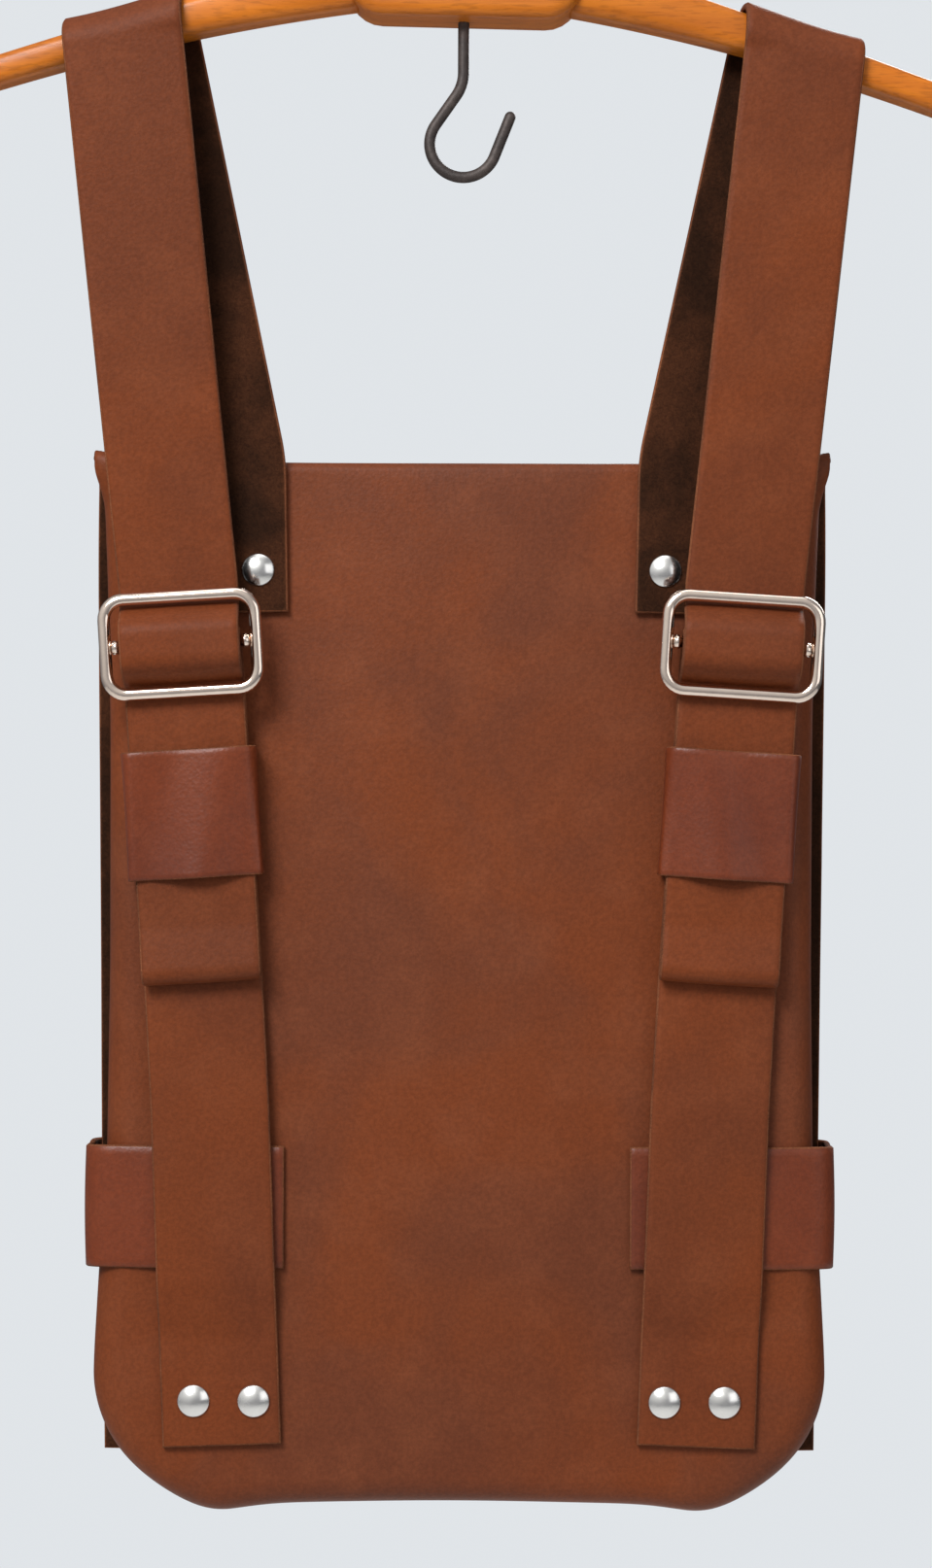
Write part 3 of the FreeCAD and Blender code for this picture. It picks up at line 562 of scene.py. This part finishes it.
inset = 2.6
gusset_corner = CORNER - inset
side_half = half_width(190) - inset
side_up = np.linspace(366, gusset_corner + inset, 90)
turn = np.linspace(0, math.pi / 2, 24)[1:-1]
bottom_across = np.linspace(side_half - gusset_corner, 0, 40)
path_across = np.concatenate(
    [
        np.full(90, side_half),
        side_half - gusset_corner + gusset_corner * np.cos(turn),
        bottom_across,
    ]
)
path_up = np.concatenate(
    [side_up, gusset_corner + inset - gusset_corner * np.sin(turn), np.full(40, inset)]
)
path_across = path_across * half_width(path_up) / half_width(190)
path_up = path_up - bottom_sag(path_across, path_up)
path_across = np.concatenate([path_across, -path_across[-2::-1]])
path_up = np.concatenate([path_up, path_up[-2::-1]])
share = np.linspace(0, 1, 15)[:, None]
near_depth = 8.0
far_depth = bag_depth + (top_depth - bag_depth) * path_up / front_top - 8.0
cave = 5.0 * np.sin(share * math.pi)
heading_across = np.gradient(path_across)
heading_up = np.gradient(path_up)
length = np.hypot(heading_across, heading_up)
gusset_skin = place(
    path_across + cave * heading_up / length,
    -(near_depth + (far_depth - near_depth) * share),
    path_up - cave * heading_across / length,
)
gusset = leather("gusset_leather", gusset_skin[:, ::-1], 2.0, PANEL_FINISHES)
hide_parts("gusset")
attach(gusset, "bag")

# ------------------------------------------------------------------ flap
# The back panel's hide runs on over the top as a flap, left square and wider than the pouch,
# so its corners stand out as ears at the fold. Its flesh side shows beside the panel.


def bent_line(corners, step=1.5):
    """A line of straight runs and tangent arcs through (place, radius) corners.

    Returns its points and how far along the corners each one is, from 0 up, so that what
    is given at the corners can be spread along the line.
    """
    spots = [np.array(corner[0], float) for corner in corners]
    pieces = [spots[0][None]]
    shares = [np.zeros(1)]
    for number in range(1, len(spots) - 1):
        come = direction(spots[number] - spots[number - 1])
        leave = direction(spots[number + 1] - spots[number])
        turn = math.acos(float(np.clip(come @ leave, -1, 1)))
        radius = corners[number][1]
        first = spots[number] - come * radius * math.tan(turn / 2)
        inward = direction(leave - come * (leave @ come))
        angle = np.linspace(0, turn, max(4, int(radius * turn / step * 2) + 2))[:, None]
        arc = first + inward * radius * (1 - np.cos(angle)) + come * radius * np.sin(angle)
        pieces.append(arc)
        shares.append(np.full(len(arc), float(number)))
    pieces.append(spots[-1][None])
    shares.append(np.full(1, float(len(spots) - 1)))
    points = np.concatenate(pieces)
    along = np.concatenate(shares)
    distance = np.concatenate([[0], np.cumsum(np.linalg.norm(np.diff(points, axis=0), axis=1))])
    even = np.linspace(0, distance[-1], int(distance[-1] / step) + 1)
    smooth = np.stack([np.interp(even, distance, axis) for axis in points.T], axis=1)
    return smooth, np.interp(even, distance, along)


def softened(line, width):
    """The line with its bends eased by a moving average that leaves its ends alone."""
    kernel = np.hanning(width + 2)[1:-1]
    kernel = kernel / kernel.sum()
    half = width // 2
    before = 2 * line[0] - line[half:0:-1]
    after = 2 * line[-1] - line[-2 : -half - 2 : -1]
    padded = np.concatenate([before, line, after])
    return np.stack([np.convolve(axis, kernel, mode="valid") for axis in padded.T], axis=1)


flap_wide = (flap_high.x - flap_low.x) / MM
flap_foot = (flap_low.z / MM) - bag_bottom
flap_back = (flap_high.y / MM) - panel_face
flap_line, _ = bent_line(
    [
        ((-fold_radius, fold_start + fold_radius), 0),
        ((-20.0, fold_up - 0.8), 60.0),
        ((-(top_depth + 3.4), fold_up - 1.0), 9.0),
        ((-(flap_back - 6.4), 122.0), 600.0),
        ((-(flap_back - 5.2), 88.0), 60.0),
        ((-(flap_back + 0.6), flap_foot), 0),
    ]
)
flap_across = np.linspace(-1, 1, 72)[None, :]
along = np.linspace(0, 1, len(flap_line))[:, None]
out, up = flap_line[:, :1], flap_line[:, 1:]
near_fold = np.exp(-((along / 0.1) ** 2))
start_half = np.abs(back_across[0]).max()
half = flap_wide / 2 - 1.4 * near_fold - 1.6 * along
half = half + (start_half - half[0]) * np.exp(-((along / 0.02) ** 2))
lift = 4.4 * np.abs(half * flap_across / 135) ** 5 * near_fold
band_low, band_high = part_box("closure_band")
band_middle = (band_low.z + band_high.z) / 2 / MM - bag_bottom
loose = np.clip(np.abs(up - band_middle) / 60 - 0.45, 0, 1)
wave = 1.6 * np.sin(flap_across * 4.2 + along * 5) * np.clip((along - 0.2) * 2, 0, 1) * loose
curl = 2.0 * np.abs(flap_across) ** 8 * np.clip((along - 0.15) * 3, 0, 1) * loose
flap_skin = place(half * flap_across, out - np.abs(wave) * 0.6 - curl, up + lift)
flap = leather("flap_leather", flap_skin, HIDE, PANEL_FINISHES, joined=("first",))
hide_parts("flap")
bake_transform(flap)

# ------------------------------------------------------------------ closure band
# A strip sewn and riveted to the back panel under both straps and passed round the outside.
# The flap is pushed down behind it, so it stands off the pouch at the sides.

band_foot = (band_low.z / MM) - bag_bottom
band_top = (band_high.z / MM) - bag_bottom
band_reach = band_high.x / MM
band_back = (band_high.y / MM) - panel_face
band_line, _ = bent_line(
    [
        ((-64.5, 2.4), 0),
        ((-112.0, 2.4), 80.0),
        ((-(band_reach - 4.4), -0.4), 9.0),
        ((-band_reach, -(band_back - 1.0)), 6.5),
        ((0.0, -band_back), 2000.0),
        ((band_reach, -(band_back - 1.0)), 6.5),
        ((band_reach - 4.4, -0.4), 9.0),
        ((112.0, 2.4), 80.0),
        ((62.5, 2.4), 0),
    ],
    2.0,
)
band_line = softened(band_line, 5)
tall = np.linspace(1, 0, 14)[:, None]
bulge = 0.5 * np.sin(tall * math.pi)
side_share = np.clip((np.abs(band_line[:, 0]) - 120) / 18, 0, 1)
band_drop = 3.4 * np.clip(-band_line[:, 1] / 40, 0, 1) * side_share
band_skin = place(
    band_line[:, 0] + np.sign(band_line[:, 0]) * bulge * side_share,
    band_line[:, 1],
    band_foot + (band_top - band_foot) * tall - band_drop,
)
band = leather("closure_band_leather", band_skin, HIDE, KEEPER_FINISHES)
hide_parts("closure_band")
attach(band, "bag")

# ------------------------------------------------------------------ shoulder straps
# Each strap is one strip, riveted to the back panel flesh side out. It goes up behind the
# hanger's arm and over it, down through the slider and keeper, folds back up through both,
# passes round the slider's bar and runs down to its rivets near the bottom.

strap_wide = 43.5
LEAN = math.radians(3.6)
slider_low, slider_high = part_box("slider_frame_right")
slider_across = (slider_low.x + slider_high.x) / 2 / MM - 1.3
slider_up = (slider_low.z + slider_high.z) / 2 / MM - bag_bottom
slider_out = panel_face - (slider_low.y + slider_high.y) / 2 / MM
arm_out = panel_face
ARM_BEND = 10.8
HANGER_TILT = math.radians(1.3)


def buckled(down, out):
    """A point of the buckled part: down the strap from the slider's centre, and out."""
    return (slider_across - down * math.sin(LEAN), out, slider_up - down * math.cos(LEAN))


def strap_route(side):
    """The strap's (place, bend radius, lean across) list; the tilted arm lifts one side."""
    over_arm = 545.6 - side * 122 * math.tan(HANGER_TILT)
    return [
        # up from the top rivets and over the arm
        ((85.3, 1.8, 329.6), 0, 1.0),
        ((86.3, 1.8, 384.0), 60, 6.0),
        ((120.4, arm_out - ARM_BEND, over_arm), ARM_BEND, 17.5 + side * 1.3),
        ((124.0, arm_out + ARM_BEND + 1.2, over_arm), ARM_BEND, 17.5 + side * 1.3),
        # down over the bar and through the keeper to the fold
        (buckled(-22, 10.9), 30, 4.6),
        (buckled(-14.4, 10.7), 3.2, 3.6),
        (buckled(-6.9, slider_out + 6.7), 5.5, 3.6),
        (buckled(6.9, slider_out + 6.7), 5.5, 3.6),
        (buckled(14.4, 10.7), 3.2, 3.6),
        (buckled(103.0, 10.9), 24, 3.6),
        (buckled(121.8, 13.6), 4.0, 3.6),
        (buckled(122.6, 6.4), 3.5, 3.6),
        # back up through the keeper and round the bar
        (buckled(14.7, 7.2), 4, 3.6),
        (buckled(5.0, slider_out + 3.7), 4, 3.6),
        (buckled(-3.7, slider_out + 3.7), 3.5, 3.6),
        (buckled(-3.7, slider_out - 3.7), 3.4, 3.6),
        # down behind everything to the bottom rivets
        (buckled(13.5, 4.1), 8, 3.6),
        (buckled(125.0, 4.1), 100, 4.4),
        ((91.5, 5.0, 150.0), 40, 3.2),
        ((89.1, 5.0, 84.0), 20, 2.0),
        ((88.4, 1.8, 64.0), 20, 2.0),
        ((86.9, 1.8, 24.0), 0, 2.0),
    ]


for side_name, side in (("left", -1), ("right", 1)):
    route = strap_route(side)
    strap_line, strap_share = bent_line(route, 0.9)
    strap_line = softened(strap_line, 3)
    tilt = np.radians(np.interp(strap_share, range(len(route)), [point[2] for point in route]))
    centre = place(side * strap_line[:, 0], strap_line[:, 1], strap_line[:, 2])
    heading = direction(np.gradient(centre, axis=0))
    wide_way = np.stack([np.cos(tilt), np.zeros(len(tilt)), -side * np.sin(tilt)], axis=1)
    wide_way = direction(wide_way - heading * np.sum(wide_way * heading, axis=1, keepdims=True))
    grain_way = np.cross(heading, wide_way)
    lateral = np.linspace(1, -1, 18)[None, :, None]
    cup = -0.25 * lateral**2
    skin = (
        centre[:, None]
        + wide_way[:, None] * lateral * (strap_wide / 2 * MM)
        + grain_way[:, None] * (STRAP / 2 + cup) * MM
    )
    strap = leather(f"strap_{side_name}_leather", skin, STRAP, STRAP_FINISHES)
    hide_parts(f"strap_{side_name}")
    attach(strap, "bag")

# ------------------------------------------------------------------ sliders
# A bent and brazed wire frame, 59.3 by 39 mm outside, polished and plated a pale champagne,
# with a loose round bar across its middle. The bar's ends are swaged into small beads.


def plated_finish(name, colour, roughness):
    """Plated and polished metal, faintly hazed and scratched."""
    finish, tree, shader = new_finish(name)
    spot = object_place(tree)
    haze = noise(tree, spot, 160, 4, 0.6)
    tint = ramp(tree, haze, [(0.3, [part * 0.93 for part in colour]), (0.7, colour)])
    rough = add(tree, "ShaderNodeMapRange", Value=haze)
    fill(tree, rough, To_Min=roughness * 0.6, To_Max=roughness * 1.5)
    fill(tree, shader, Metallic=1.0, Base_Color=tint, Roughness=rough.outputs["Result"])
    relief(tree, shader, noise(tree, spot, 1400, 2, 0.5, 1.5), 0.15, 0.00005)
    return finish


champagne = plated_finish("slider_plating", (0.86, 0.72, 0.62), 0.13)
nickel = plated_finish("rivet_nickel", (0.8, 0.79, 0.77), 0.24)
wire_radius = 1.85
wire_broad = 2.25
frame_half_wide = 59.3 / 2 - wire_broad
frame_half_tall = 39.0 / 2 - wire_broad
frame_corner = 9.6 - wire_broad


def rounded_loop(half_across, half_up, corner, steps):
    """A rounded rectangle's corner arcs in order, anticlockwise from the right."""
    turn = np.linspace(0, math.pi / 2, steps)
    loops = []
    for quarter, (sign_across, sign_up) in enumerate([(1, 1), (-1, 1), (-1, -1), (1, -1)]):
        angle = turn + quarter * math.pi / 2
        across = sign_across * (half_across - corner) + corner * np.cos(angle)
        up = sign_up * (half_up - corner) + corner * np.sin(angle)
        loops.append(np.stack([across, up], axis=1))
    return np.concatenate(loops)


def leaning_ways(side):
    """The directions across and up a buckled strap, which leans out towards its top."""
    angle = -side * LEAN
    across_way = np.array([math.cos(angle), 0, math.sin(angle)])
    return across_way, np.array([-math.sin(angle), 0, math.cos(angle)])


for side_name, side in (("left", -1), ("right", 1)):
    across_way, up_way = leaning_ways(side)
    centre = place(side * slider_across, slider_out, slider_up)
    loop = rounded_loop(frame_half_wide, frame_half_tall, frame_corner, 9) * MM
    path = centre + loop[:, :1] * across_way + loop[:, 1:] * up_way
    ring = wire(
        f"slider_{side_name}_frame",
        path,
        wire_radius * MM,
        champagne,
        28,
        closed=True,
        broad=wire_broad / wire_radius,
    )
    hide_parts(f"slider_frame_{side_name}")
    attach(ring, f"slider_{side_name}")
    reach = (frame_half_wide - wire_broad - 0.1) * MM
    along = np.array([-1, -0.985, -0.93, -0.9, -0.885, 0.885, 0.9, 0.93, 0.985, 1]) * reach
    thick = np.array([1.3, 2.5, 2.6, 2.4, 2.0, 2.0, 2.4, 2.6, 2.5, 1.3]) * MM
    turn = np.linspace(0, 2 * math.pi, 20, endpoint=False)
    round_way = np.cos(turn)[:, None] * up_way + np.sin(turn)[:, None] * INWARD
    rings = centre + along[:, None, None] * across_way + thick[:, None, None] * round_way[None]
    bar = turned(f"slider_{side_name}_bar", rings, champagne)
    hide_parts(f"slider_bar_{side_name}")
    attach(bar, f"slider_{side_name}")

# ------------------------------------------------------------------ keepers
# A short strip closed into a loop that holds the strap's layers together. Its front is pulled
# into a shallow pillow by the layers inside.

keeper_wide = 48.6
keeper_tall = 47.0
keeper_thick = 1.8
keeper_low = 0.5
keeper_high = 14.5
keeper_down = 61.6
for side_name, side in (("left", -1), ("right", 1)):
    across_way, up_way = leaning_ways(side)
    middle_out = (keeper_low + keeper_high) / 2
    across, _, up = buckled(keeper_down, middle_out)
    centre = place(side * across, middle_out, up)
    section = rounded_loop(keeper_wide / 2, (keeper_high - keeper_low) / 2, 3.6, 8)
    closed = np.concatenate([section, section[:1]])
    distance = np.cumsum(np.linalg.norm(np.diff(closed, axis=0, prepend=closed[:1]), axis=1))
    even = np.linspace(0, distance[-1], 120, endpoint=False)
    section = np.stack([np.interp(even, distance, axis) for axis in closed.T], axis=1)
    rise = np.linspace(-0.5, 0.5, 22)[:, None]
    front = np.clip(-section[:, 1] / 6.5, 0, 1) ** 4
    pillow = front * (
        2.0 * np.cos(section[:, 0] / keeper_wide * math.pi) ** 2
        + 1.5 * np.cos((section[:, 0] * -side - 9 - 14 * rise) / 5.6) * (0.7 + 1.2 * rise**2)
    )
    flare = 0.2 * (2 * rise) ** 2
    depth = section[:, 1] - pillow - front * flare
    wide = section[:, 0] * (1 + 0.012 * (2 * rise) ** 2)
    skin = (
        centre
        + (wide * MM)[..., None] * across_way
        + (depth * MM)[..., None] * INWARD
        + (rise * keeper_tall * MM)[..., None] * up_way
    )
    keeper = leather(
        f"keeper_{side_name}_leather", skin, keeper_thick, KEEPER_FINISHES, loop=True
    )
    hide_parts(f"keeper_{side_name}")
    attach(keeper, f"keeper_{side_name}")

# ------------------------------------------------------------------ rivets
# Double-cap rivets: a domed cap outside, a post through the layers and a flat cap inside.

cap_radius = 6.0
cap_height = 2.1
cap_seat = 3.2
cap_apart = 22.0


def domed_caps(name, node):
    """A smooth dome in place of each of a node's four caps: part of a ball over a thin rim."""
    corners = np.array([v.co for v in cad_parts[node].data.vertices])
    lows = corners.min(axis=0)
    highs = corners.max(axis=0)
    up = (lows[2] + highs[2]) / 2 / MM - bag_bottom
    outer = highs[0] / MM - cap_radius
    inner = outer - cap_apart
    arc = 2.0 * np.arcsin(cap_height / np.hypot(cap_radius, cap_height))
    angle = np.linspace(0.04, arc, 12)
    ball = cap_radius / math.sin(arc)
    rim = cap_radius * np.array([1.0, 0.985, 0.9])
    ring_radius = np.concatenate([ball * np.sin(angle), rim])
    dome = cap_height - ball * (1 - np.cos(angle)) + 0.45
    ring_out = np.concatenate([dome, [0.28, 0.1, 0.0]])
    turn = np.linspace(0, 2 * math.pi, 32, endpoint=False)
    for number, across in enumerate((-outer, -inner, inner, outer)):
        rings = place(
            across + ring_radius[:, None] * np.cos(turn),
            cap_seat + ring_out[:, None],
            up + ring_radius[:, None] * np.sin(turn),
        )
        cap = turned(f"{name}_{number}", rings, nickel)
        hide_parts(node)
        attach(cap, "bag")


def refinish(node, finish):
    """One finish for a piece that keeps its CAD shape."""
    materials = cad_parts[node].data.materials
    materials.clear()
    materials.append(finish)


domed_caps("bottom_rivet", "bottom_rivet_caps")
domed_caps("top_rivet", "top_rivet_caps")
for node in (
    "bottom_rivet_posts",
    "bottom_rivet_backs",
    "top_rivet_posts",
    "top_rivet_backs",
    "band_rivet_caps",
    "band_rivet_posts",
    "band_rivet_backs",
):
    refinish(node, nickel)

# ------------------------------------------------------------------ wooden hanger
# Beech, steam-bent and varnished a honey orange: two arms dowelled into a thicker block.


def wood_finish(name, pale, deep, gloss):
    """Varnished wood: long streaks of grain along X under a clear coat."""
    finish, tree, shader = new_finish(name)
    spot = object_place(tree)
    stretch = add(tree, "ShaderNodeMapping", Vector=spot, Scale=(0.9, 14.0, 14.0))
    streaks = noise(tree, stretch.outputs["Vector"], 14, 6, 0.62, 0.9)
    wide = noise(tree, stretch.outputs["Vector"], 3.2, 3, 0.5, 0.5)
    flecks_map = add(tree, "ShaderNodeMapping", Vector=spot, Scale=(22.0, 160.0, 160.0))
    flecks = noise(tree, flecks_map.outputs["Vector"], 7, 2, 0.5)
    colour = blend_colours(tree, ramp(tree, streaks, [(0.33, 0.0), (0.68, 1.0)]), deep, pale)
    colour = dimmed(tree, colour, ramp(tree, wide, [(0.3, 0.86), (0.7, 1.1)]))
    colour = dimmed(tree, colour, ramp(tree, flecks, [(0.34, 0.8), (0.5, 1.0)]))
    fill(tree, shader, Base_Color=colour, Roughness=0.4, Specular_IOR_Level=0.2)
    fill(tree, shader, Coat_Weight=gloss, Coat_Roughness=0.16)
    relief(tree, shader, streaks, 0.12, 0.0004)
    return finish


varnished = wood_finish("varnished_beech", (0.54, 0.155, 0.011), (0.43, 0.114, 0.008), 0.12)
bare = wood_finish("dowel_beech", (0.6, 0.42, 0.25), (0.46, 0.3, 0.16), 0.0)
block_low, block_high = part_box("hanger_block")
block_foot = block_low.z + 4.8 * MM
block_half = np.array(block_high - block_low) / 2 / MM
block_half[2] = (block_high.z - block_foot) / 2 / MM
block_middle = np.array([0.0, 0.0, (block_high.z + block_foot) / 2])


def tilted(points):
    """Points turned with the hanger, which hangs a little lower on its right."""
    centre = np.array([0.0, 0.0, block_foot])
    away = points - centre
    across = away[..., 0] * math.cos(HANGER_TILT) + away[..., 2] * math.sin(HANGER_TILT)
    up = away[..., 2] * math.cos(HANGER_TILT) - away[..., 0] * math.sin(HANGER_TILT)
    return centre + np.stack([across, away[..., 1], up], axis=-1)


def block_rings():
    """Rings of the block: its rounded front outline, drawn in over the rounded edges."""
    edge, corner = 4.0, 13.0
    swing = np.linspace(0, math.pi / 2, 7)
    depth = np.concatenate([np.zeros(4), edge - edge * np.cos(swing), [block_half[1]]])
    drawn = np.concatenate([np.full(4, edge), edge - edge * np.sin(swing), [0]])
    shrink = np.concatenate([[0.02, 0.3, 0.65, 0.93], np.ones(8)])
    half = []
    for y, draw, scale in zip(depth, drawn, shrink):
        ring = rounded_loop(block_half[0] - draw, block_half[2] - draw, corner - draw, 7) * scale
        half.append((ring, -block_half[1] + y))
    mirrored = [(ring, -y) for ring, y in half[-2::-1]]
    return [
        block_middle + np.stack([ring[:, 0], np.full(len(ring), y), ring[:, 1]], axis=1) * MM
        for ring, y in half + mirrored
    ]


block = turned("hanger_block_wood", tilted(np.array(block_rings())), varnished)
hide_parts("hanger_block")
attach(block, "bag")

root = block_half[0]
ARM_TIP = 12.0
for side_name, side in (("left", -1), ("right", 1)):
    arm_low, arm_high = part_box(f"hanger_arm_{side_name}")
    reach = max(abs(arm_low.x), abs(arm_high.x)) / MM
    top_curve = np.polyfit([root, 146, reach - 3], [568.0, 534.6, 510.0], 2)
    under_curve = np.polyfit([root, 100, 171, reach - 6], [546.2, 535.3, 514.1, 499.0], 2)
    tip = reach - ARM_TIP
    rounding = tip + ARM_TIP * np.sin(np.linspace(0.1, 1.5, 10))
    across = np.concatenate([np.linspace(root - 4, tip, 60), rounding])
    top = np.polyval(top_curve, across)
    under = np.polyval(under_curve, across)
    shrink = np.sqrt(np.clip(1 - (np.maximum(across - tip, 0) / ARM_TIP) ** 2, 0, 1))
    half_tall = (top - under) / 2 * shrink
    half_thick = (8.0 - 1.2 * np.clip((across - 150) / 70, 0, 1)) * shrink
    turn = np.linspace(0, 2 * math.pi, 40, endpoint=False)
    power = 2 / 3.4
    square_cos = np.sign(np.cos(turn)) * np.abs(np.cos(turn)) ** power
    square_sin = np.sign(np.sin(turn)) * np.abs(np.sin(turn)) ** power
    middle = (top + under) / 2
    rings = place(
        side * across[:, None] * np.ones(40),
        arm_out + half_thick[:, None] * square_cos,
        middle[:, None] + half_tall[:, None] * square_sin,
    )
    arm = turned(f"hanger_{side_name}_arm_wood", tilted(rings), varnished)
    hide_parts(f"hanger_arm_{side_name}")
    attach(arm, "bag")
refinish("arm_dowels", bare)

# ------------------------------------------------------------------ hooks and collar
# The under-hook is hand-bent iron wire with a brown-black skin. The top hook is plated steel
# wire with a headed stem that turns in the collar.


def iron_finish(name):
    """Forged iron wire: scaly and dark brown, with darker and lighter stains."""
    finish, tree, shader = new_finish(name)
    spot = object_place(tree)
    scale_marks = noise(tree, spot, 420, 5, 0.7)
    stains = noise(tree, spot, 90, 3, 0.5)
    stained = ramp(tree, stains, [(0.35, 0.0), (0.65, 1.0)])
    colour = blend_colours(tree, stained, (0.034, 0.026, 0.024), (0.057, 0.043, 0.038))
    colour = dimmed(tree, colour, ramp(tree, scale_marks, [(0.3, 0.75), (0.7, 1.3)]))
    fill(tree, shader, Base_Color=colour, Metallic=0.35, Roughness=0.55)
    relief(tree, shader, scale_marks, 0.5, 0.0003)
    return finish


iron = iron_finish("dark_iron")
steel = plated_finish("hook_steel", (0.62, 0.61, 0.6), 0.22)


def arc_points(centre, radius, first, last, steps):
    """Points of an arc in the upright plane, from one angle to another, in degrees."""
    angle = np.radians(np.linspace(first, last, steps))
    across = centre[0] + radius * np.cos(angle)
    return np.stack([across, np.zeros(steps), centre[1] + radius * np.sin(angle)], axis=1)


def hook_line(centre_up, radius, neck, swing, stem_end, finish, up, tail=0.0):
    """A stem, a neck bend through an angle, a straight slope and a round hook under the stem.

    The slope's length makes up what the neck leaves of the way from the stem to the hook:
    slope * sin(swing) = radius * cos(swing) - neck * (1 - cos(swing)), in millimetres.
    """
    cosine, sine = math.cos(math.radians(swing)), math.sin(math.radians(swing))
    slope = (radius * cosine - neck * (1 - cosine)) / sine
    base = centre_up - up * ((neck + radius) * sine + slope * cosine)
    start = 180 if up > 0 else 0
    stem = np.stack([np.zeros(12), np.zeros(12), np.linspace(stem_end, base, 13)[:-1]], axis=1)
    small = arc_points((up * neck, base), neck, start, start - swing, 14)
    large = arc_points((0, centre_up), radius, 180 - start - swing, finish, 60)
    share = np.linspace(0, 1, 10)[1:-1, None]
    line = np.concatenate([stem, small, small[-1] + (large[0] - small[-1]) * share, large])
    if tail:
        heading = direction(large[-1] - large[-2])
        line = np.concatenate([line, large[-1] + heading * np.linspace(0, tail, 8)[1:, None]])
    return line * MM


block_top = block_high.z / MM
under_low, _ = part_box("under_hook")
under_wire = 4.1
under_radius = 12.2
under_line = hook_line(
    centre_up=under_low.z / MM + under_wire / 2 + under_radius,
    radius=under_radius,
    neck=15.0,
    swing=35,
    stem_end=block_low.z / MM + 8,
    finish=340,
    up=-1,
    tail=15.0,
)
under_hook = wire("under_hook_iron", under_line, under_wire / 2 * MM, iron, 22)
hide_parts("under_hook")
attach(under_hook, "bag")

top_line = hook_line(
    centre_up=-20.0, radius=22.0, neck=10.0, swing=71, stem_end=block_top - 3, finish=208, up=1
)
top_hook = wire("top_hook_steel", top_line, 2.0 * MM, steel, 22)
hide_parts("top_hook")
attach(top_hook, "hook")

turn = np.linspace(0, 2 * math.pi, 40, endpoint=False)
collar_radius = np.array([2.2, 5.0, 6.2, 6.6, 6.9, 7.5, 7.5, 7.0, 2.2])
collar_up = np.array([5.0, 5.0, 4.7, 4.0, 1.8, 1.2, 0.4, 0.0, 0.0])
rings = np.stack(
    [
        collar_radius[:, None] * np.cos(turn),
        collar_radius[:, None] * np.sin(turn),
        (block_top + collar_up)[:, None] * np.ones(40),
    ],
    axis=-1,
)
collar = turned("hook_collar_steel", rings * MM, steel)
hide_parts("hook_collar")
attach(collar, "bag")

# ------------------------------------------------------------------ floor, light and camera


def stage_finish(name, colour):
    """Plain matt paint."""
    finish, tree, shader = new_finish(name)
    fill(tree, shader, Base_Color=colour, Roughness=0.9)
    return finish


def card(name, corners, finish):
    """A single flat face for the floor."""
    return solid(name, np.array(corners, float), [[0, 1, 2, 3]], [finish], smooth=False)


floor_up = -1.7
floor = card(
    "floor",
    [(-3, -2.5, floor_up), (3, -2.5, floor_up), (3, 3, floor_up), (-3, 3, floor_up)],
    stage_finish("floor_paint", (0.78, 0.78, 0.77)),
)

world = bpy.data.worlds.new("studio")
bpy.context.scene.world = world
world.use_nodes = True
sky = world.node_tree
background = sky.nodes["Background"]
towards = sky.nodes.new("ShaderNodeVectorMath")
towards.operation = "DOT_PRODUCT"
feed(sky, sky.nodes.new("ShaderNodeTexCoord").outputs["Generated"], towards.inputs[0])
feed(sky, (-0.45, -0.6, 0.66), towards.inputs[1])
glow = ramp(
    sky,
    arithmetic(sky, "MULTIPLY", arithmetic(sky, "ADD", towards.outputs["Value"], 1.0), 0.5),
    [
        (0.0, (0.07, 0.072, 0.08)),
        (0.45, (0.15, 0.155, 0.165)),
        (0.72, (0.32, 0.32, 0.33)),
        (0.95, (0.7, 0.7, 0.69)),
    ],
)
seen = sky.nodes.new("ShaderNodeLightPath").outputs["Is Camera Ray"]
fill(sky, background, Color=blend_colours(sky, seen, glow, (0.75, 0.78, 0.81)), Strength=1.0)


def soft_light(name, spot, target, size, power):
    """A large square light that faces a target."""
    lamp = bpy.data.lights.new(name, "AREA")
    lamp.size = size
    lamp.energy = power
    item = bpy.data.objects.new(name, lamp)
    item.location = spot
    way = np.array(target, float) - np.array(spot, float)
    yaw = math.atan2(way[0], -way[1])
    pitch = math.atan2(math.hypot(way[0], way[1]), -way[2])
    item.rotation_euler = (pitch, 0, yaw + math.pi)
    bpy.context.scene.collection.objects.link(item)


soft_light("key", (-0.75, -1.5, 0.85), (0, 0, -0.3), 0.8, 43)
soft_light("fill", (1.5, -1.4, 0.0), (0, 0, -0.35), 1.4, 7)
soft_light("top", (0.1, -0.3, 1.3), (0, 0, -0.3), 1.0, 4)
soft_light("back", (0.9, 1.9, 0.7), (0, 0, -0.35), 1.2, 42)

view_tall = 576.4
distance = 1150.0
camera_data = bpy.data.cameras.new("camera")
camera_data.sensor_width = 36
camera_data.lens = 36 / 2 / (view_tall / 2 / distance)
camera = bpy.data.objects.new("camera", camera_data)
camera.location = place(1.8, distance, 267.1)
camera.rotation_euler = (math.pi / 2, math.radians(-0.2), 0)
bpy.context.scene.collection.objects.link(camera)
bpy.context.scene.camera = camera

bpy.context.scene.view_settings.view_transform = "Standard"
